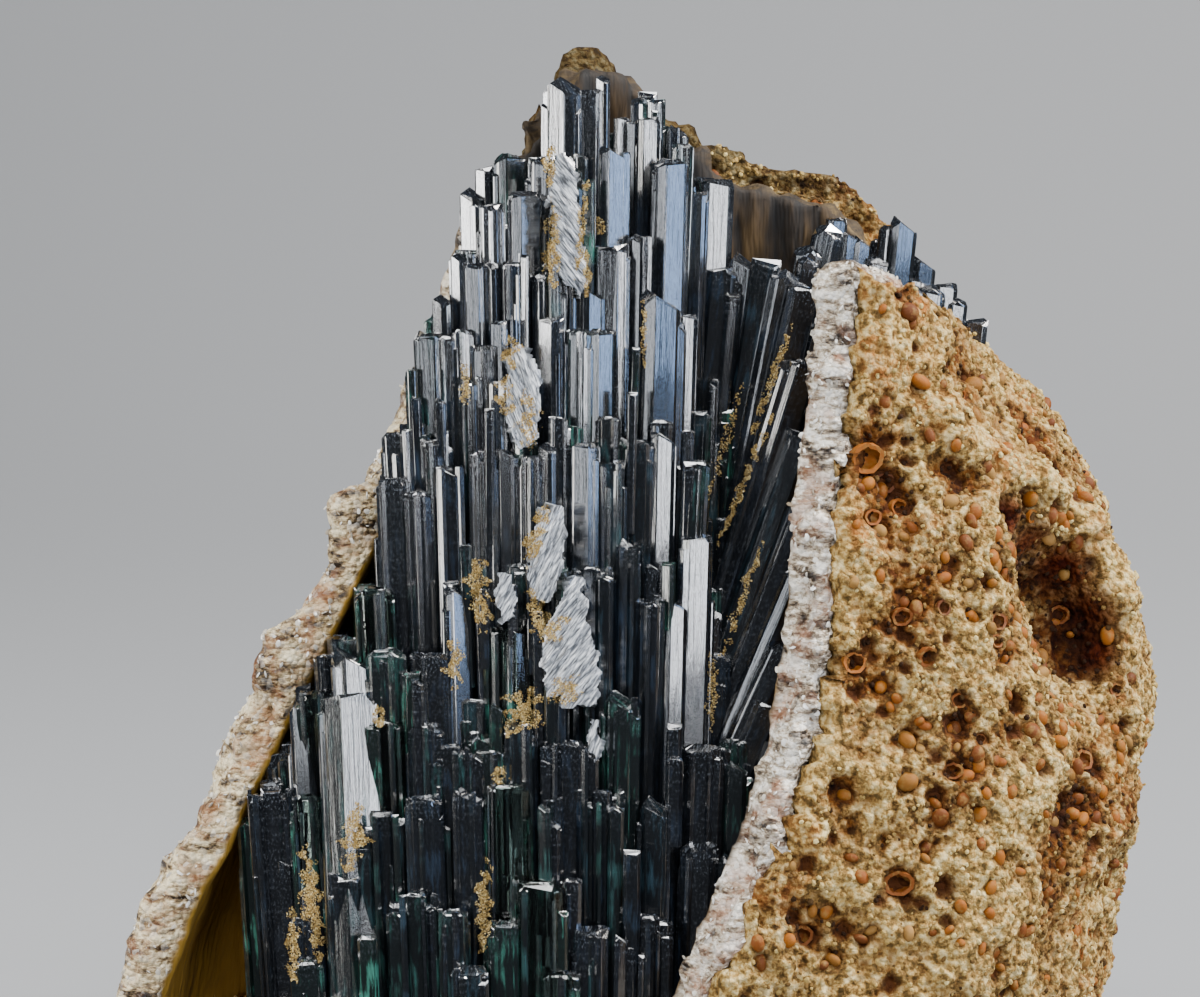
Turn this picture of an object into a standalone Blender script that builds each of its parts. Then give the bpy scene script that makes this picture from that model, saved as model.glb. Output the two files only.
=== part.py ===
"""Vivianite crystals grown in a broken fossil shell that is set in oolitic ironstone.

The hollow opens towards -Y and +Z is up. Plan outlines and heights below are in millimetres.
"""

import math
import random

import bmesh
import bpy
import numpy as np
from mathutils import Euler, Matrix, Vector, noise

MM = 0.001
GAP = 0.3  # clear space between two pieces that touch
MIDDLE = (-0.55, 1.25)  # middle of the specimen's box in the frame of the outlines

# The flat cut that the specimen stands on, and the stone left under the hollow
FLOOR_TOP = 6.0
FLOOR_INSET = 0.2  # the slab stays this far inside the weathered outside
FLOOR_FRONT = ((-28.0, 6.0), (-30.0, -1.0), (-29.8, -8.6), (-22.5, -13.0), (-12.5, -15.8), (-3.5, -18.2),
               (1.5, -19.0))

# Inner face of the shell in plan, from its right front edge round the back to its left front edge
SHELL_INNER = {
    0.0: ((-0.5, -15.8), (10.0, -9.0), (17.0, 0.0), (19.0, 9.0), (12.0, 16.0),
          (2.0, 16.6), (-8.0, 16.0), (-18.0, 12.0), (-25.0, 3.5), (-26.8, -7.6)),
    11.0: ((1.2, -15.0), (10.4, -8.6), (17.0, 0.5), (19.0, 9.4), (12.2, 16.0),
           (2.3, 16.4), (-7.4, 15.6), (-17.0, 11.4), (-24.0, 3.0), (-25.6, -7.6)),
    25.0: ((6.6, -11.3), (12.0, -5.2), (16.5, 2.8), (18.6, 10.4), (12.5, 15.8),
           (3.0, 15.8), (-5.0, 14.4), (-13.0, 10.0), (-18.0, 3.0), (-18.9, -4.8)),
    38.0: ((8.3, -7.2), (12.5, -2.4), (16.0, 3.6), (18.8, 10.5), (12.5, 14.8),
           (3.5, 14.4), (-4.0, 12.4), (-9.2, 9.0), (-11.9, 4.6), (-12.6, -1.2)),
    50.0: ((9.8, -3.8), (12.8, -0.4), (15.4, 4.2), (18.4, 10.2), (12.5, 13.8),
           (4.5, 12.8), (-1.5, 10.6), (-5.2, 8.6), (-7.4, 6.2), (-7.9, 3.2)),
    62.0: ((10.5, -1.0), (12.8, 1.5), (15.0, 5.0), (17.0, 10.0), (11.5, 12.8),
           (4.5, 11.5), (-1.5, 9.2), (-3.4, 8.0), (-4.0, 6.6), (-4.2, 5.0)),
}
SHELL_THICKNESS = 2.5
SHELL_TOP = (50.0, 48.8, 46.0, 41.0, 51.6, 54.2, 60.6, 58.6, 55.0, 50.0)

# Weathered outside of the ironstone in plan, on the same columns as far as the back left
STONE_OUTER = {
    0.0: ((4.6, -17.0), (15.0, -14.4), (24.2, -4.2), (25.4, 8.2), (16.5, 17.4),
          (5.0, 18.4), (-8.0, 19.4), (-20.4, 14.6)),
    10.0: ((5.6, -16.4), (16.0, -14.2), (25.4, -4.0), (26.4, 8.6), (17.5, 18.0),
           (5.0, 20.0), (-8.0, 19.6), (-20.2, 14.4)),
    25.0: ((10.6, -12.7), (19.5, -10.4), (27.8, -1.6), (28.6, 9.6), (18.0, 18.6),
           (5.0, 20.0), (-6.4, 18.8), (-15.8, 12.8)),
    37.0: ((12.0, -8.7), (18.6, -6.8), (25.2, 0.6), (26.0, 11.0), (17.4, 18.3),
           (5.2, 18.8), (-5.0, 16.8), (-12.4, 11.6)),
    45.0: ((13.2, -5.8), (16.8, -3.0), (19.6, 3.4), (22.2, 12.0), (15.4, 18.0),
           (5.4, 16.8), (-3.2, 14.2), (-8.2, 11.2)),
    62.0: ((13.6, -2.2), (15.2, 0.6), (17.4, 5.4), (19.4, 11.4), (13.4, 15.8),
           (5.6, 14.6), (-1.6, 12.0), (-4.4, 10.2)),
}
STONE_TOP = (49.6, 48.2, 45.2, 40.4, 53.0, 55.6, 62.0, 55.5)
STONE_CLEAR = 0.65  # clear of the shell, more than the gap because both faces are faceted
STONE_LAST = 7.0  # the column where the ironstone ends at the back left
STONE_END = 0.75  # how far its broken end wanders, in columns

# Relief of the weathered stone: column, height, half width in columns and in mm, depth (+ is a lump)
STONE_FORMS = (
    (1.62, 31.5, 0.26, 5.0, -4.2),
    (1.80, 28.6, 0.12, 2.6, -1.8),
    (1.40, 37.2, 0.14, 2.4, -1.6),
    (1.60, 38.4, 0.24, 2.0, 1.5),
    (1.95, 31.0, 0.12, 6.5, 1.3),
    (1.95, 18.6, 0.34, 1.8, 1.5),
    (1.90, 14.6, 0.30, 1.8, -1.3),
    (0.32, 21.6, 0.05, 0.9, -1.3),
    (0.40, 40.0, 0.07, 1.2, -1.2),
    (0.40, 43.6, 0.08, 1.4, -0.8),
    (0.75, 33.0, 0.10, 2.0, -0.8),
    (0.80, 24.0, 0.14, 2.4, 0.8),
    (1.15, 14.0, 0.18, 2.6, 0.9),
    (3.40, 30.0, 0.34, 6.0, 1.6),
    (3.90, 18.0, 0.30, 5.0, -1.8),
    (4.70, 40.0, 0.30, 4.5, 1.4),
    (5.30, 25.0, 0.34, 5.0, 1.6),
    (6.10, 36.0, 0.26, 4.0, -1.3),
)
STONE_LUMP = 0.75
STONE_LUMP_PITCH = 6.5

# Crystals: the stepped slope that their tops follow
FOOT = FLOOR_TOP + GAP
SLOPE_FOOT_Y = -14.5
SLOPE_FOOT_Z = 9.0
SLOPE_RUN = 0.30  # mm back for each mm up
SLOPE_CURVE = 0.015  # how fast the slope falls back on both sides of its middle
SLOPE_MIDDLE_X = -4.0
SIDE_X = (-26.0, -21.0, -18.9, -15.7, -14.1, -12.8, -10.9, -9.2, -5.0, -2.0, 1.1, 2.9, 4.1, 5.4, 7.0)
SIDE_Z = (11.0, 20.5, 25.5, 30.5, 36.5, 43.5, 48.0, 52.0, 57.0, 58.5, 55.5, 45.5, 33.0, 23.5, 9.0)
RECESS_X = 1.5  # no upright crystals right of this and behind the next: the recess of the grey row
RECESS_Y = 7.2
REAR_SHIFT = 2.8  # the right side stands this much further right at the back
CRYSTAL_PITCH = 2.6
CRYSTAL_WIDTH = (1.1, 1.6)
CRYSTAL_DEPTH = (1.0, 1.35)
CRYSTAL_TURN = 26.0
CRYSTAL_STEP = 2.2
FAN = 0.24  # degrees of lean for each mm from the middle
LEAN_BACK = 4.0
LOWEST_CRYSTAL = 9.0
CORE_DROP = 3.6  # the crystals are grown together this far under their tips
CORE_X = (-24.0, 6.5)
CORE_Y = (-11.5, 7.8)
CORE_STEPS = (13, 10)

# Large single crystals: tip x, y and z, half width, half depth, turn, lean to the right
LARGE_CRYSTALS = (
    (-16.1, -9.4, 27.2, 2.15, 1.5, 24.0, -4.0),
    (-15.3, -6.6, 29.8, 1.45, 1.1, 16.0, -4.0),
    (3.5, -7.2, 34.6, 0.75, 0.9, -14.0, 1.0),
    (1.9, -5.2, 41.0, 0.75, 0.9, -16.0, 1.0),
    (1.4, -2.6, 48.4, 1.3, 1.0, -12.0, 2.0),
    (-4.6, -3.2, 46.8, 0.75, 0.8, 8.0, 0.0),
    (-4.9, -5.4, 40.2, 0.6, 0.7, 6.0, 0.0),
    (-3.9, 1.6, 59.4, 0.95, 0.9, 10.0, 0.0),
    (-1.9, 3.4, 59.8, 0.8, 0.8, -8.0, 1.0),
    (0.2, 3.2, 57.4, 0.9, 0.8, -10.0, 2.0),
    (1.6, 3.6, 55.4, 0.9, 0.9, 12.0, 2.0),
    (3.1, 4.0, 54.0, 1.0, 0.9, -14.0, 4.0),
    (-6.9, 2.6, 56.2, 1.5, 1.1, 6.0, -1.0),
    (-6.2, -12.2, 20.0, 1.5, 1.2, 8.0, 0.0),
    (-11.0, -11.6, 18.6, 1.4, 1.1, -10.0, -1.0),
)

# The spray that leans right in the recess: tip x, y, z, lean to the right, lean back, length
SPRAY = (
    (4.9, 3.4, 49.2, 5.0, 3.0, 38.0), (6.2, 3.8, 49.9, 7.0, 3.0, 38.0),
    (7.4, 3.4, 49.7, 9.0, 4.0, 38.0), (8.5, 2.6, 49.2, 11.0, 5.0, 37.0),
    (9.4, 1.4, 48.4, 13.0, 6.0, 34.0), (9.9, 4.4, 50.4, 10.0, 2.0, 38.0),
    (11.0, 4.8, 51.6, 11.0, 2.0, 38.0), (9.4, -0.8, 44.4, 17.0, 6.0, 26.0),
    (9.2, -2.2, 40.6, 19.0, 7.0, 22.0), (9.4, -3.2, 36.8, 21.0, 7.0, 19.0),
    (9.0, -4.4, 33.2, 23.0, 8.0, 16.0), (8.2, -5.6, 29.6, 25.0, 8.0, 14.0),
    (7.3, -6.6, 26.4, 24.0, 8.0, 12.0), (10.8, -0.4, 37.0, 20.0, 5.0, 24.0),
)
SPRAY_WIDTH = 1.05
SPRAY_DEPTH = 0.95

# The grey row on the back of the hollow: tip x, y and z
BACK_ROW = (
    (7.4, 12.2, 48.6), (9.6, 11.6, 49.2), (11.4, 11.2, 50.7), (12.5, 10.4, 52.3), (13.7, 11.8, 51.2),
    (14.9, 10.4, 51.6), (16.2, 11.4, 50.0), (17.0, 9.8, 48.8), (18.1, 10.8, 49.4), (19.2, 10.4, 46.8),
)
BACK_ROW_FOOT = ((4.6, 12.6), (7.0, 10.4), (14.0, 9.6), (15.2, 10.8), (12.0, 13.0), (5.4, 13.6))
BACK_ROW_FOOT_TOP = 28.0
BACK_ROW_WIDTH = 1.05
BACK_ROW_DEPTH = 0.95
BACK_ROW_LEAN = 5.5


def clear_scene():
    for thing in list(bpy.data.objects):
        bpy.data.objects.remove(thing, do_unlink=True)


def material(name, colour, roughness, metallic=0.0):
    made = bpy.data.materials.new(name)
    made.use_nodes = True
    shader = made.node_tree.nodes["Principled BSDF"]
    shader.inputs["Base Color"].default_value = (*colour, 1.0)
    shader.inputs["Roughness"].default_value = roughness
    shader.inputs["Metallic"].default_value = metallic
    made.diffuse_color = (*colour, 1.0)
    return made


def through(points, at):
    """A smooth curve through the points, read at a column number; it runs straight on past its ends."""
    points = np.asarray(points, float)
    last = len(points) - 1
    if at <= 0:
        return points[0] + (points[1] - points[0]) * at
    if at >= last:
        return points[last] + (points[last] - points[last - 1]) * (at - last)
    i = min(int(at), last - 1)
    t = at - i
    before = points[i - 1] if i else 2 * points[0] - points[1]
    after = points[i + 2] if i + 2 <= last else 2 * points[last] - points[last - 1]
    start, end = points[i], points[i + 1]
    return 0.5 * (2 * start + (end - before) * t + (2 * before - 5 * start + 4 * end - after) * t**2
                  + (3 * start - before - 3 * end + after) * t**3)


def plan_point(outlines, column, z):
    """The point of a wall face at a column and a height, in plan."""
    heights = sorted(outlines)
    rows = [through(outlines[height], column) for height in heights]
    place = np.interp(z, heights, range(len(heights)))
    return through(rows, place)


def outward(outlines, column, z):
    """Unit vector in plan that points out of the hollow."""
    along = plan_point(outlines, column + 0.1, z) - plan_point(outlines, column - 0.1, z)
    return np.array((along[1], -along[0])) / np.linalg.norm(along)


def shell_inner(column, z):
    return plan_point(SHELL_INNER, column, z)


def shell_outer(column, z, more=0.0):
    ripple = 0.35 * noise.noise(Vector((column * 2.6, z * 0.16, 4.0)))
    offset = SHELL_THICKNESS + ripple + more
    return shell_inner(column, z) + outward(SHELL_INNER, column, z) * offset


def stone_inner(column, z):
    return shell_outer(column, z, STONE_CLEAR)


def relief(column, z):
    """Lumps and hollows of the weathered stone, in mm along its outward direction."""
    total = 0.0
    for at, height, half_columns, half_height, depth in STONE_FORMS:
        far = ((column - at) / half_columns) ** 2 + ((z - height) / half_height) ** 2
        total += depth * math.exp(-far)
    x, y = plan_point(STONE_OUTER, column, z)
    lump = noise.noise(Vector((x, y, z)) / STONE_LUMP_PITCH)
    return total + STONE_LUMP * lump


def stone_outer(column, z):
    inner = stone_inner(column, z)
    outer = plan_point(STONE_OUTER, column, z) + outward(STONE_OUTER, column, z) * relief(column, z)
    out = outward(SHELL_INNER, column, z)
    thin = 0.9 - float(np.dot(outer - inner, out))
    return outer + out * max(thin, 0.0)


def ragged(column, amount, seed):
    return amount * noise.noise(Vector((column * 3.1, seed, 0.5)))


def wall(name, inner, outer, tops, columns, rows, bottom, wander=0.0, look=None):
    """A closed wall between two faces, with a ragged top; its last edge wanders by that many columns."""
    mesh = bmesh.new()
    faces = []
    for face in (inner, outer):
        grid = []
        for column in columns:
            top = float(through([(t,) for t in tops], column)[0]) + ragged(column, 0.8, 2.0)
            share = max(column / columns[-1], 0.0) ** 3
            line = []
            for step in range(rows + 1):
                z = bottom + (top - bottom) * step / rows
                x, y = face(column + share * ragged(0.045 * z, wander, 9.0), z)
                line.append(mesh.verts.new((x * MM, y * MM, z * MM)))
            grid.append(line)
        faces.append(grid)
    within, out = faces
    last = len(columns) - 1
    for i in range(last):
        for j in range(rows):
            mesh.faces.new((within[i][j], within[i][j + 1], within[i + 1][j + 1], within[i + 1][j]))
            mesh.faces.new((out[i][j], out[i + 1][j], out[i + 1][j + 1], out[i][j + 1]))
        mesh.faces.new((within[i][0], within[i + 1][0], out[i + 1][0], out[i][0]))
        mesh.faces.new((within[i][rows], out[i][rows], out[i + 1][rows], within[i + 1][rows]))
    for j in range(rows):
        mesh.faces.new((within[0][j], out[0][j], out[0][j + 1], within[0][j + 1]))
        mesh.faces.new((within[last][j], within[last][j + 1], out[last][j + 1], out[last][j]))
    bmesh.ops.recalc_face_normals(mesh, faces=mesh.faces)
    return finished(name, mesh, look)


def finished(name, mesh, look=None):
    """The mesh as an object, shifted so that the middle of the specimen's box is over the origin."""
    bmesh.ops.translate(mesh, verts=mesh.verts, vec=(-MIDDLE[0] * MM, -MIDDLE[1] * MM, 0.0))
    data = bpy.data.meshes.new(name)
    mesh.to_mesh(data)
    mesh.free()
    made = bpy.data.objects.new(name, data)
    bpy.context.scene.collection.objects.link(made)
    if look:
        data.materials.append(look)
    return made


def helper(thing):
    thing.hide_render = True
    thing.display_type = "WIRE"
    return thing


def boolean(thing, operation, other, own_overlaps=False):
    modifier = thing.modifiers.new(operation.lower(), "BOOLEAN")
    modifier.operation = operation
    modifier.solver = "EXACT"
    modifier.object = helper(other)
    modifier.use_self = own_overlaps


def one_body(thing):
    """Applies the cuts and joins, and drops sealed pockets and chips, so that one closed body is left."""
    graph = bpy.context.evaluated_depsgraph_get()
    mesh = bmesh.new()
    mesh.from_mesh(thing.evaluated_get(graph).to_mesh())
    thing.modifiers.clear()
    bodies = []
    waiting = set(mesh.faces)
    while waiting:
        body = [waiting.pop()]
        for face in body:
            for edge in face.edges:
                near = [other for other in edge.link_faces if other in waiting]
                waiting.difference_update(near)
                body += near
        bodies.append(body)
    bodies.sort(key=len)
    loose = [face for body in bodies[:-1] for face in body]
    bmesh.ops.delete(mesh, geom=loose, context="FACES")
    mesh.to_mesh(thing.data)
    mesh.free()


def floor(name, look=None):
    """The stone under the hollow: a slab with a flat cut underneath and rough sides."""
    edge = [stone_outer(column, FLOOR_TOP / 2) - outward(STONE_OUTER, column, 0.0) * FLOOR_INSET
            for column in np.linspace(0.0, STONE_LAST, 30)]
    front = [edge[-1], *(np.array(point) for point in FLOOR_FRONT), edge[0]]
    steps = np.linspace(0.0, len(front) - 1, 27)[1:-1]
    edge += [through(front, step) + ragged(step, 0.9, 7.0) for step in steps]
    mesh = bmesh.new()
    rings = []
    for z, grow in ((0.0, 0.985), (0.5 * FLOOR_TOP, 1.0), (FLOOR_TOP, 0.98)):
        rings.append([mesh.verts.new((x * grow * MM, y * grow * MM, z * MM)) for x, y in edge])
    count = len(edge)
    for low, high in zip(rings, rings[1:]):
        for i in range(count):
            mesh.faces.new((low[i], low[(i + 1) % count], high[(i + 1) % count], high[i]))
    mesh.faces.new(list(reversed(rings[0])))
    mesh.faces.new(rings[-1])
    bmesh.ops.recalc_face_normals(mesh, faces=mesh.faces)
    return finished(name, mesh, look)


def prism(mesh, foot, length, half_width, half_depth, turn, lean_right, lean_back, slant):
    """One crystal: a flattened six-sided prism with a chisel tip whose ridge runs across it."""
    section = ((-0.66, -1.0), (0.66, -1.0), (1.0, 0.0), (0.66, 1.0), (-0.66, 1.0), (-1.0, 0.0))
    drop = 0.7 * half_depth
    place = (Matrix.Translation(Vector(foot))
             @ Euler((math.radians(-lean_back), math.radians(lean_right), 0.0)).to_matrix().to_4x4()
             @ Matrix.Rotation(math.radians(turn), 4, "Z"))
    low = [mesh.verts.new(place @ Vector((x * half_width, y * half_depth, 0.0)) * MM) for x, y in section]
    high = [mesh.verts.new(place @ Vector((x * half_width, y * half_depth,
                                           length - drop * (0.35 + abs(y)) + slant * x)) * MM)
            for x, y in section]
    left = mesh.verts.new(place @ Vector((-0.55 * half_width, 0.1, length - slant * 0.55)) * MM)
    right = mesh.verts.new(place @ Vector((0.55 * half_width, 0.1, length + slant * 0.55)) * MM)
    for i in range(6):
        mesh.faces.new((low[i], low[(i + 1) % 6], high[(i + 1) % 6], high[i]))
    mesh.faces.new(list(reversed(low)))
    mesh.faces.new((high[0], high[1], right, left))
    mesh.faces.new((high[1], high[2], right))
    mesh.faces.new((high[2], high[3], right))
    mesh.faces.new((high[3], high[4], left, right))
    mesh.faces.new((high[4], high[5], left))
    mesh.faces.new((high[5], high[0], left))


def foot_under(tip, lean_right, lean_back, length):
    """Where a leaning crystal of that length has its foot."""
    axis = Euler((math.radians(-lean_back), math.radians(lean_right), 0.0)).to_matrix() @ Vector((0, 0, 1))
    return Vector(tip) - axis * length


def slope_height(x, y):
    """How high the crystals stand at a place in plan."""
    front = SLOPE_FOOT_Z + (y - SLOPE_FOOT_Y - SLOPE_CURVE * (x - SLOPE_MIDDLE_X) ** 2) / SLOPE_RUN
    rear = min(max(y / 4.0, 0.0), 1.0) * (x > 0)
    side = float(np.interp(x - REAR_SHIFT * rear, SIDE_X, SIDE_Z))
    return min(front, side)


def inside_shell(x, y, z, clear):
    """True if a point is in the hollow, or in front of it, by a clear distance."""
    columns = np.linspace(0.0, 9.0, 46)
    face = np.array([shell_inner(column, z) for column in columns])
    nearest = int(np.argmin(np.hypot(face[:, 0] - x, face[:, 1] - y)))
    out = outward(SHELL_INNER, columns[nearest], z)
    in_front = nearest == len(columns) - 1 and float(np.dot((x, y) - face[-1], face[-1] - face[-2])) > 0
    return in_front or float(np.dot(face[nearest] - (x, y), out)) > clear


def cluster_crystals(mesh):
    dice = random.Random(5)
    row = 0
    y = SLOPE_FOOT_Y
    while y < 13.0:
        x = -25.0 + (row % 2) * CRYSTAL_PITCH / 2
        while x < 8.0:
            at = (x + dice.uniform(-0.4, 0.4), y + dice.uniform(-0.4, 0.4))
            tip = slope_height(*at) + dice.uniform(-CRYSTAL_STEP, 0.6)
            half = (dice.uniform(*CRYSTAL_WIDTH), dice.uniform(*CRYSTAL_DEPTH))
            turn = dice.uniform(-CRYSTAL_TURN, CRYSTAL_TURN)
            slant = dice.uniform(-0.3, 0.3)
            lean = FAN * (at[0] - SLOPE_MIDDLE_X)
            x += CRYSTAL_PITCH
            behind = at[0] > RECESS_X and at[1] > RECESS_Y
            if behind or tip < LOWEST_CRYSTAL or not inside_shell(*at, 0.5 * (FOOT + tip), 0.6):
                continue
            length = tip - FOOT
            start = foot_under((*at, tip), lean, LEAN_BACK, length)
            prism(mesh, start, length, *half, turn, lean, LEAN_BACK, slant)
        row += 1
        y += CRYSTAL_PITCH * 0.86


def large_crystals(mesh):
    for x, y, tip, half_width, half_depth, turn, lean in LARGE_CRYSTALS:
        length = tip - FOOT
        start = foot_under((x, y, tip), lean, LEAN_BACK, length)
        prism(mesh, start, length, half_width, half_depth, turn, lean, LEAN_BACK, 0.3)


def spray_crystals(mesh):
    dice = random.Random(11)
    for x, y, z, lean, back, length in SPRAY:
        turn = dice.uniform(-20.0, 20.0)
        foot = foot_under((x, y, z), lean, back, length)
        prism(mesh, foot, length, SPRAY_WIDTH, SPRAY_DEPTH, turn, lean, back, 0.2)


def cluster_core(mesh):
    """The grown-together mass that the prisms rise from: a slope like theirs, a little lower."""
    tops = []
    feet = []
    for x in np.linspace(*CORE_X, CORE_STEPS[0]):
        line = []
        base = []
        for y in np.linspace(*CORE_Y, CORE_STEPS[1]):
            top = max(slope_height(x, y) - CORE_DROP, FOOT + 1.0)
            back = (top - FOOT) * math.tan(math.radians(LEAN_BACK))
            line.append(mesh.verts.new((x * MM, y * MM, top * MM)))
            base.append(mesh.verts.new((x * MM, (y - back) * MM, FOOT * MM)))
        tops.append(line)
        feet.append(base)
    across, along = CORE_STEPS[0] - 1, CORE_STEPS[1] - 1
    for i in range(across):
        for j in range(along):
            mesh.faces.new((tops[i][j], tops[i + 1][j], tops[i + 1][j + 1], tops[i][j + 1]))
            mesh.faces.new((feet[i][j], feet[i][j + 1], feet[i + 1][j + 1], feet[i + 1][j]))
        mesh.faces.new((feet[i][0], feet[i + 1][0], tops[i + 1][0], tops[i][0]))
        mesh.faces.new((feet[i][along], tops[i][along], tops[i + 1][along], feet[i + 1][along]))
    for j in range(along):
        mesh.faces.new((feet[0][j], tops[0][j], tops[0][j + 1], feet[0][j + 1]))
        mesh.faces.new((feet[across][j], feet[across][j + 1], tops[across][j + 1], tops[across][j]))
    bmesh.ops.recalc_face_normals(mesh, faces=mesh.faces)


def back_row_core(mesh):
    """The foot of the grey row."""
    low = [mesh.verts.new((x * MM, y * MM, FOOT * MM)) for x, y in BACK_ROW_FOOT]
    high = [mesh.verts.new((x * MM, y * MM, BACK_ROW_FOOT_TOP * MM)) for x, y in BACK_ROW_FOOT]
    count = len(BACK_ROW_FOOT)
    for i in range(count):
        mesh.faces.new((low[i], low[(i + 1) % count], high[(i + 1) % count], high[i]))
    mesh.faces.new(list(reversed(low)))
    mesh.faces.new(high)
    bmesh.ops.recalc_face_normals(mesh, faces=mesh.faces)


def shell_cutter(name):
    """The shell with clear space round it, which keeps the crystals off it."""
    def within(column, z):
        return shell_inner(column, z) - outward(SHELL_INNER, column, z) * GAP

    def without(column, z):
        return shell_outer(column, z, 6.0)

    columns = np.linspace(-0.12, 9.12, 40)
    tops = [top + 2 * GAP for top in SHELL_TOP]
    return wall(name, within, without, tops, columns, 12, FOOT - 2.0)


def crystal_piece(name, core, prisms, look):
    mesh = bmesh.new()
    core(mesh)
    made = finished(name, mesh, look)
    mesh = bmesh.new()
    for add in prisms:
        add(mesh)
    boolean(made, "UNION", finished(name + "_prisms", mesh), own_overlaps=True)
    boolean(made, "DIFFERENCE", shell_cutter(name + "_clearance"))
    one_body(made)


def back_row_crystals(mesh):
    dice = random.Random(23)
    for x, y, tip in BACK_ROW:
        turn = dice.uniform(-25.0, 25.0)
        length = tip - FOOT
        start = foot_under((x, y, tip), BACK_ROW_LEAN, 0.0, length)
        prism(mesh, start, length, BACK_ROW_WIDTH, BACK_ROW_DEPTH, turn, BACK_ROW_LEAN, 0.0, 0.3)


def build():
    clear_scene()
    stone = material("ironstone", (0.45, 0.28, 0.10), 0.9)
    lining = material("shell_lining", (0.52, 0.46, 0.38), 0.6)
    vivianite = material("vivianite", (0.02, 0.035, 0.045), 0.15)

    matrix = floor("ironstone_matrix", stone)
    columns = np.concatenate((np.linspace(0.0, 2.2, 17), np.linspace(2.55, STONE_LAST, 12)))
    block = wall("ironstone_wall", stone_inner, stone_outer, STONE_TOP, columns, 15, 1.0, STONE_END)
    boolean(matrix, "UNION", block)

    wall("fossil_shell", shell_inner, shell_outer, SHELL_TOP, np.linspace(0.0, 9.0, 25), 9, FOOT, 0.0, lining)

    prisms = (cluster_crystals, large_crystals, spray_crystals)
    crystal_piece("vivianite_cluster", cluster_core, prisms, vivianite)
    crystal_piece("vivianite_back_row", back_row_core, (back_row_crystals,), vivianite)


build()
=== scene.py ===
"""Looks of a vivianite specimen: dark prisms in a broken fossil shell that is set in oolitic ironstone.

Sizes are in millimetres and are turned to metres with MM where a mesh is made.
"""

import math
import random

import bpy
import numpy as np
from mathutils import Euler, Matrix, Vector, noise
from mathutils.bvhtree import BVHTree
from mathutils.kdtree import KDTree


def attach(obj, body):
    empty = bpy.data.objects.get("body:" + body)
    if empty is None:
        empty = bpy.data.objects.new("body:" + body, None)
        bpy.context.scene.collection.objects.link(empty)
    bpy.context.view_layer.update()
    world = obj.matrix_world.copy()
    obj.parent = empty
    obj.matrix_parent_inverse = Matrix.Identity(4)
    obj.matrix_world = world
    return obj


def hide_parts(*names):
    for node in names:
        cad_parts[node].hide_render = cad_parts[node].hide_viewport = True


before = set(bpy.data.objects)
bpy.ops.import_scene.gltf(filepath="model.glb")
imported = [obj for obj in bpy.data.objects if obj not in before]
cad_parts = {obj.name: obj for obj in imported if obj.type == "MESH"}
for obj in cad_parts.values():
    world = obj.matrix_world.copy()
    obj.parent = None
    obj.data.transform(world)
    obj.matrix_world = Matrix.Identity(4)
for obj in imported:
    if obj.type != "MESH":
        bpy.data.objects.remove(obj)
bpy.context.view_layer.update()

# Ironstone matrix
# One natural lump of sandy ironstone with small round ooids in it, weathered on the outside and cut
# flat underneath. The shell is set in it, so it closes up to the shell all round.
MM = 0.001
STONE_VOXEL = 0.5
STONE_REACH = 1.4  # inner faces this near the shell are let up to it
STONE_COAT = ((4.5, 0.55), (1.9, 0.36), (0.85, 0.24))  # lump size and height of the weathered surface
STONE_GRAIN = (0.38, 0.24)  # sandy grain on the front and right, where it shows
# Forms of the weathered face: x, y, z, radius and depth; + is a lump
STONE_FORMS = (
    (21.0, -5.2, 35.0, 2.0, -0.3), (23.0, -3.4, 32.8, 2.6, -0.3), (25.3, -2.9, 29.2, 1.8, -0.7),
    (18.4, -6.6, 41.2, 1.9, 0.6), (20.6, -4.6, 38.8, 1.5, 0.9), (22.8, -2.8, 36.6, 1.6, 1.1),
    (24.8, -1.4, 34.6, 1.7, 1.2), (26.9, -1.6, 31.6, 1.7, 1.1), (27.6, -3.0, 28.2, 1.5, 0.8),
    (18.3, -7.3, 38.7, 1.3, -0.9), (16.6, -7.6, 39.6, 0.8, -0.7),
    (20.7, -5.8, 37.2, 0.6, -1.0), (20.8, -5.9, 36.2, 0.6, -1.0), (24.4, -8.6, 20.6, 2.0, -0.8),
    (22.6, -9.6, 23.0, 1.6, 0.6), (11.2, -14.5, 23.4, 0.75, -1.0), (12.3, -9.5, 40.3, 1.15, -1.1),
    (12.0, -8.9, 42.6, 1.0, 0.5), (13.6, -9.0, 37.0, 1.6, -0.5), (15.9, -11.8, 33.6, 1.4, -0.5),
)
# The slanting hollow, rusty inside and darkened as painted shade: x, y, z and radius
CAVE = (
    (20.9, -5.4, 36.2, 1.5), (22.4, -4.2, 34.2, 1.9), (24.0, -2.8, 32.6, 2.3), (25.2, -3.0, 30.2, 2.3),
    (25.9, -3.0, 28.4, 1.8), (24.2, -4.0, 29.6, 1.6),
)
# Ooids that have split open, the largest by the rim: x, y, z and radius
CUPS = (
    (13.2, -9.6, 40.0, 0.95), (14.3, -8.8, 38.8, 0.7), (14.3, -15.0, 18.3, 0.85), (25.3, -7.0, 23.2, 0.7),
    (14.7, -8.9, 37.5, 0.6), (19.9, -9.4, 31.3, 0.6), (17.6, -11.8, 27.4, 0.55), (21.0, -10.2, 27.1, 0.6),
)
OOID_COUNT = 700
OOID_SPACING = 1.15
OOID_RADIUS = (0.28, 0.56)
OOID_TRIES = 20000
CROWD_Z = 27.0  # ooids are closest together at this height
CROWD_REACH = 13.0
SOCKET_SHARE = 0.4  # sites whose ooid has fallen out


def pick(thing):
    """Makes one object the only one selected, and active."""
    bpy.ops.object.select_all(action="DESELECT")
    thing.select_set(True)
    bpy.context.view_layer.objects.active = thing


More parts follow.
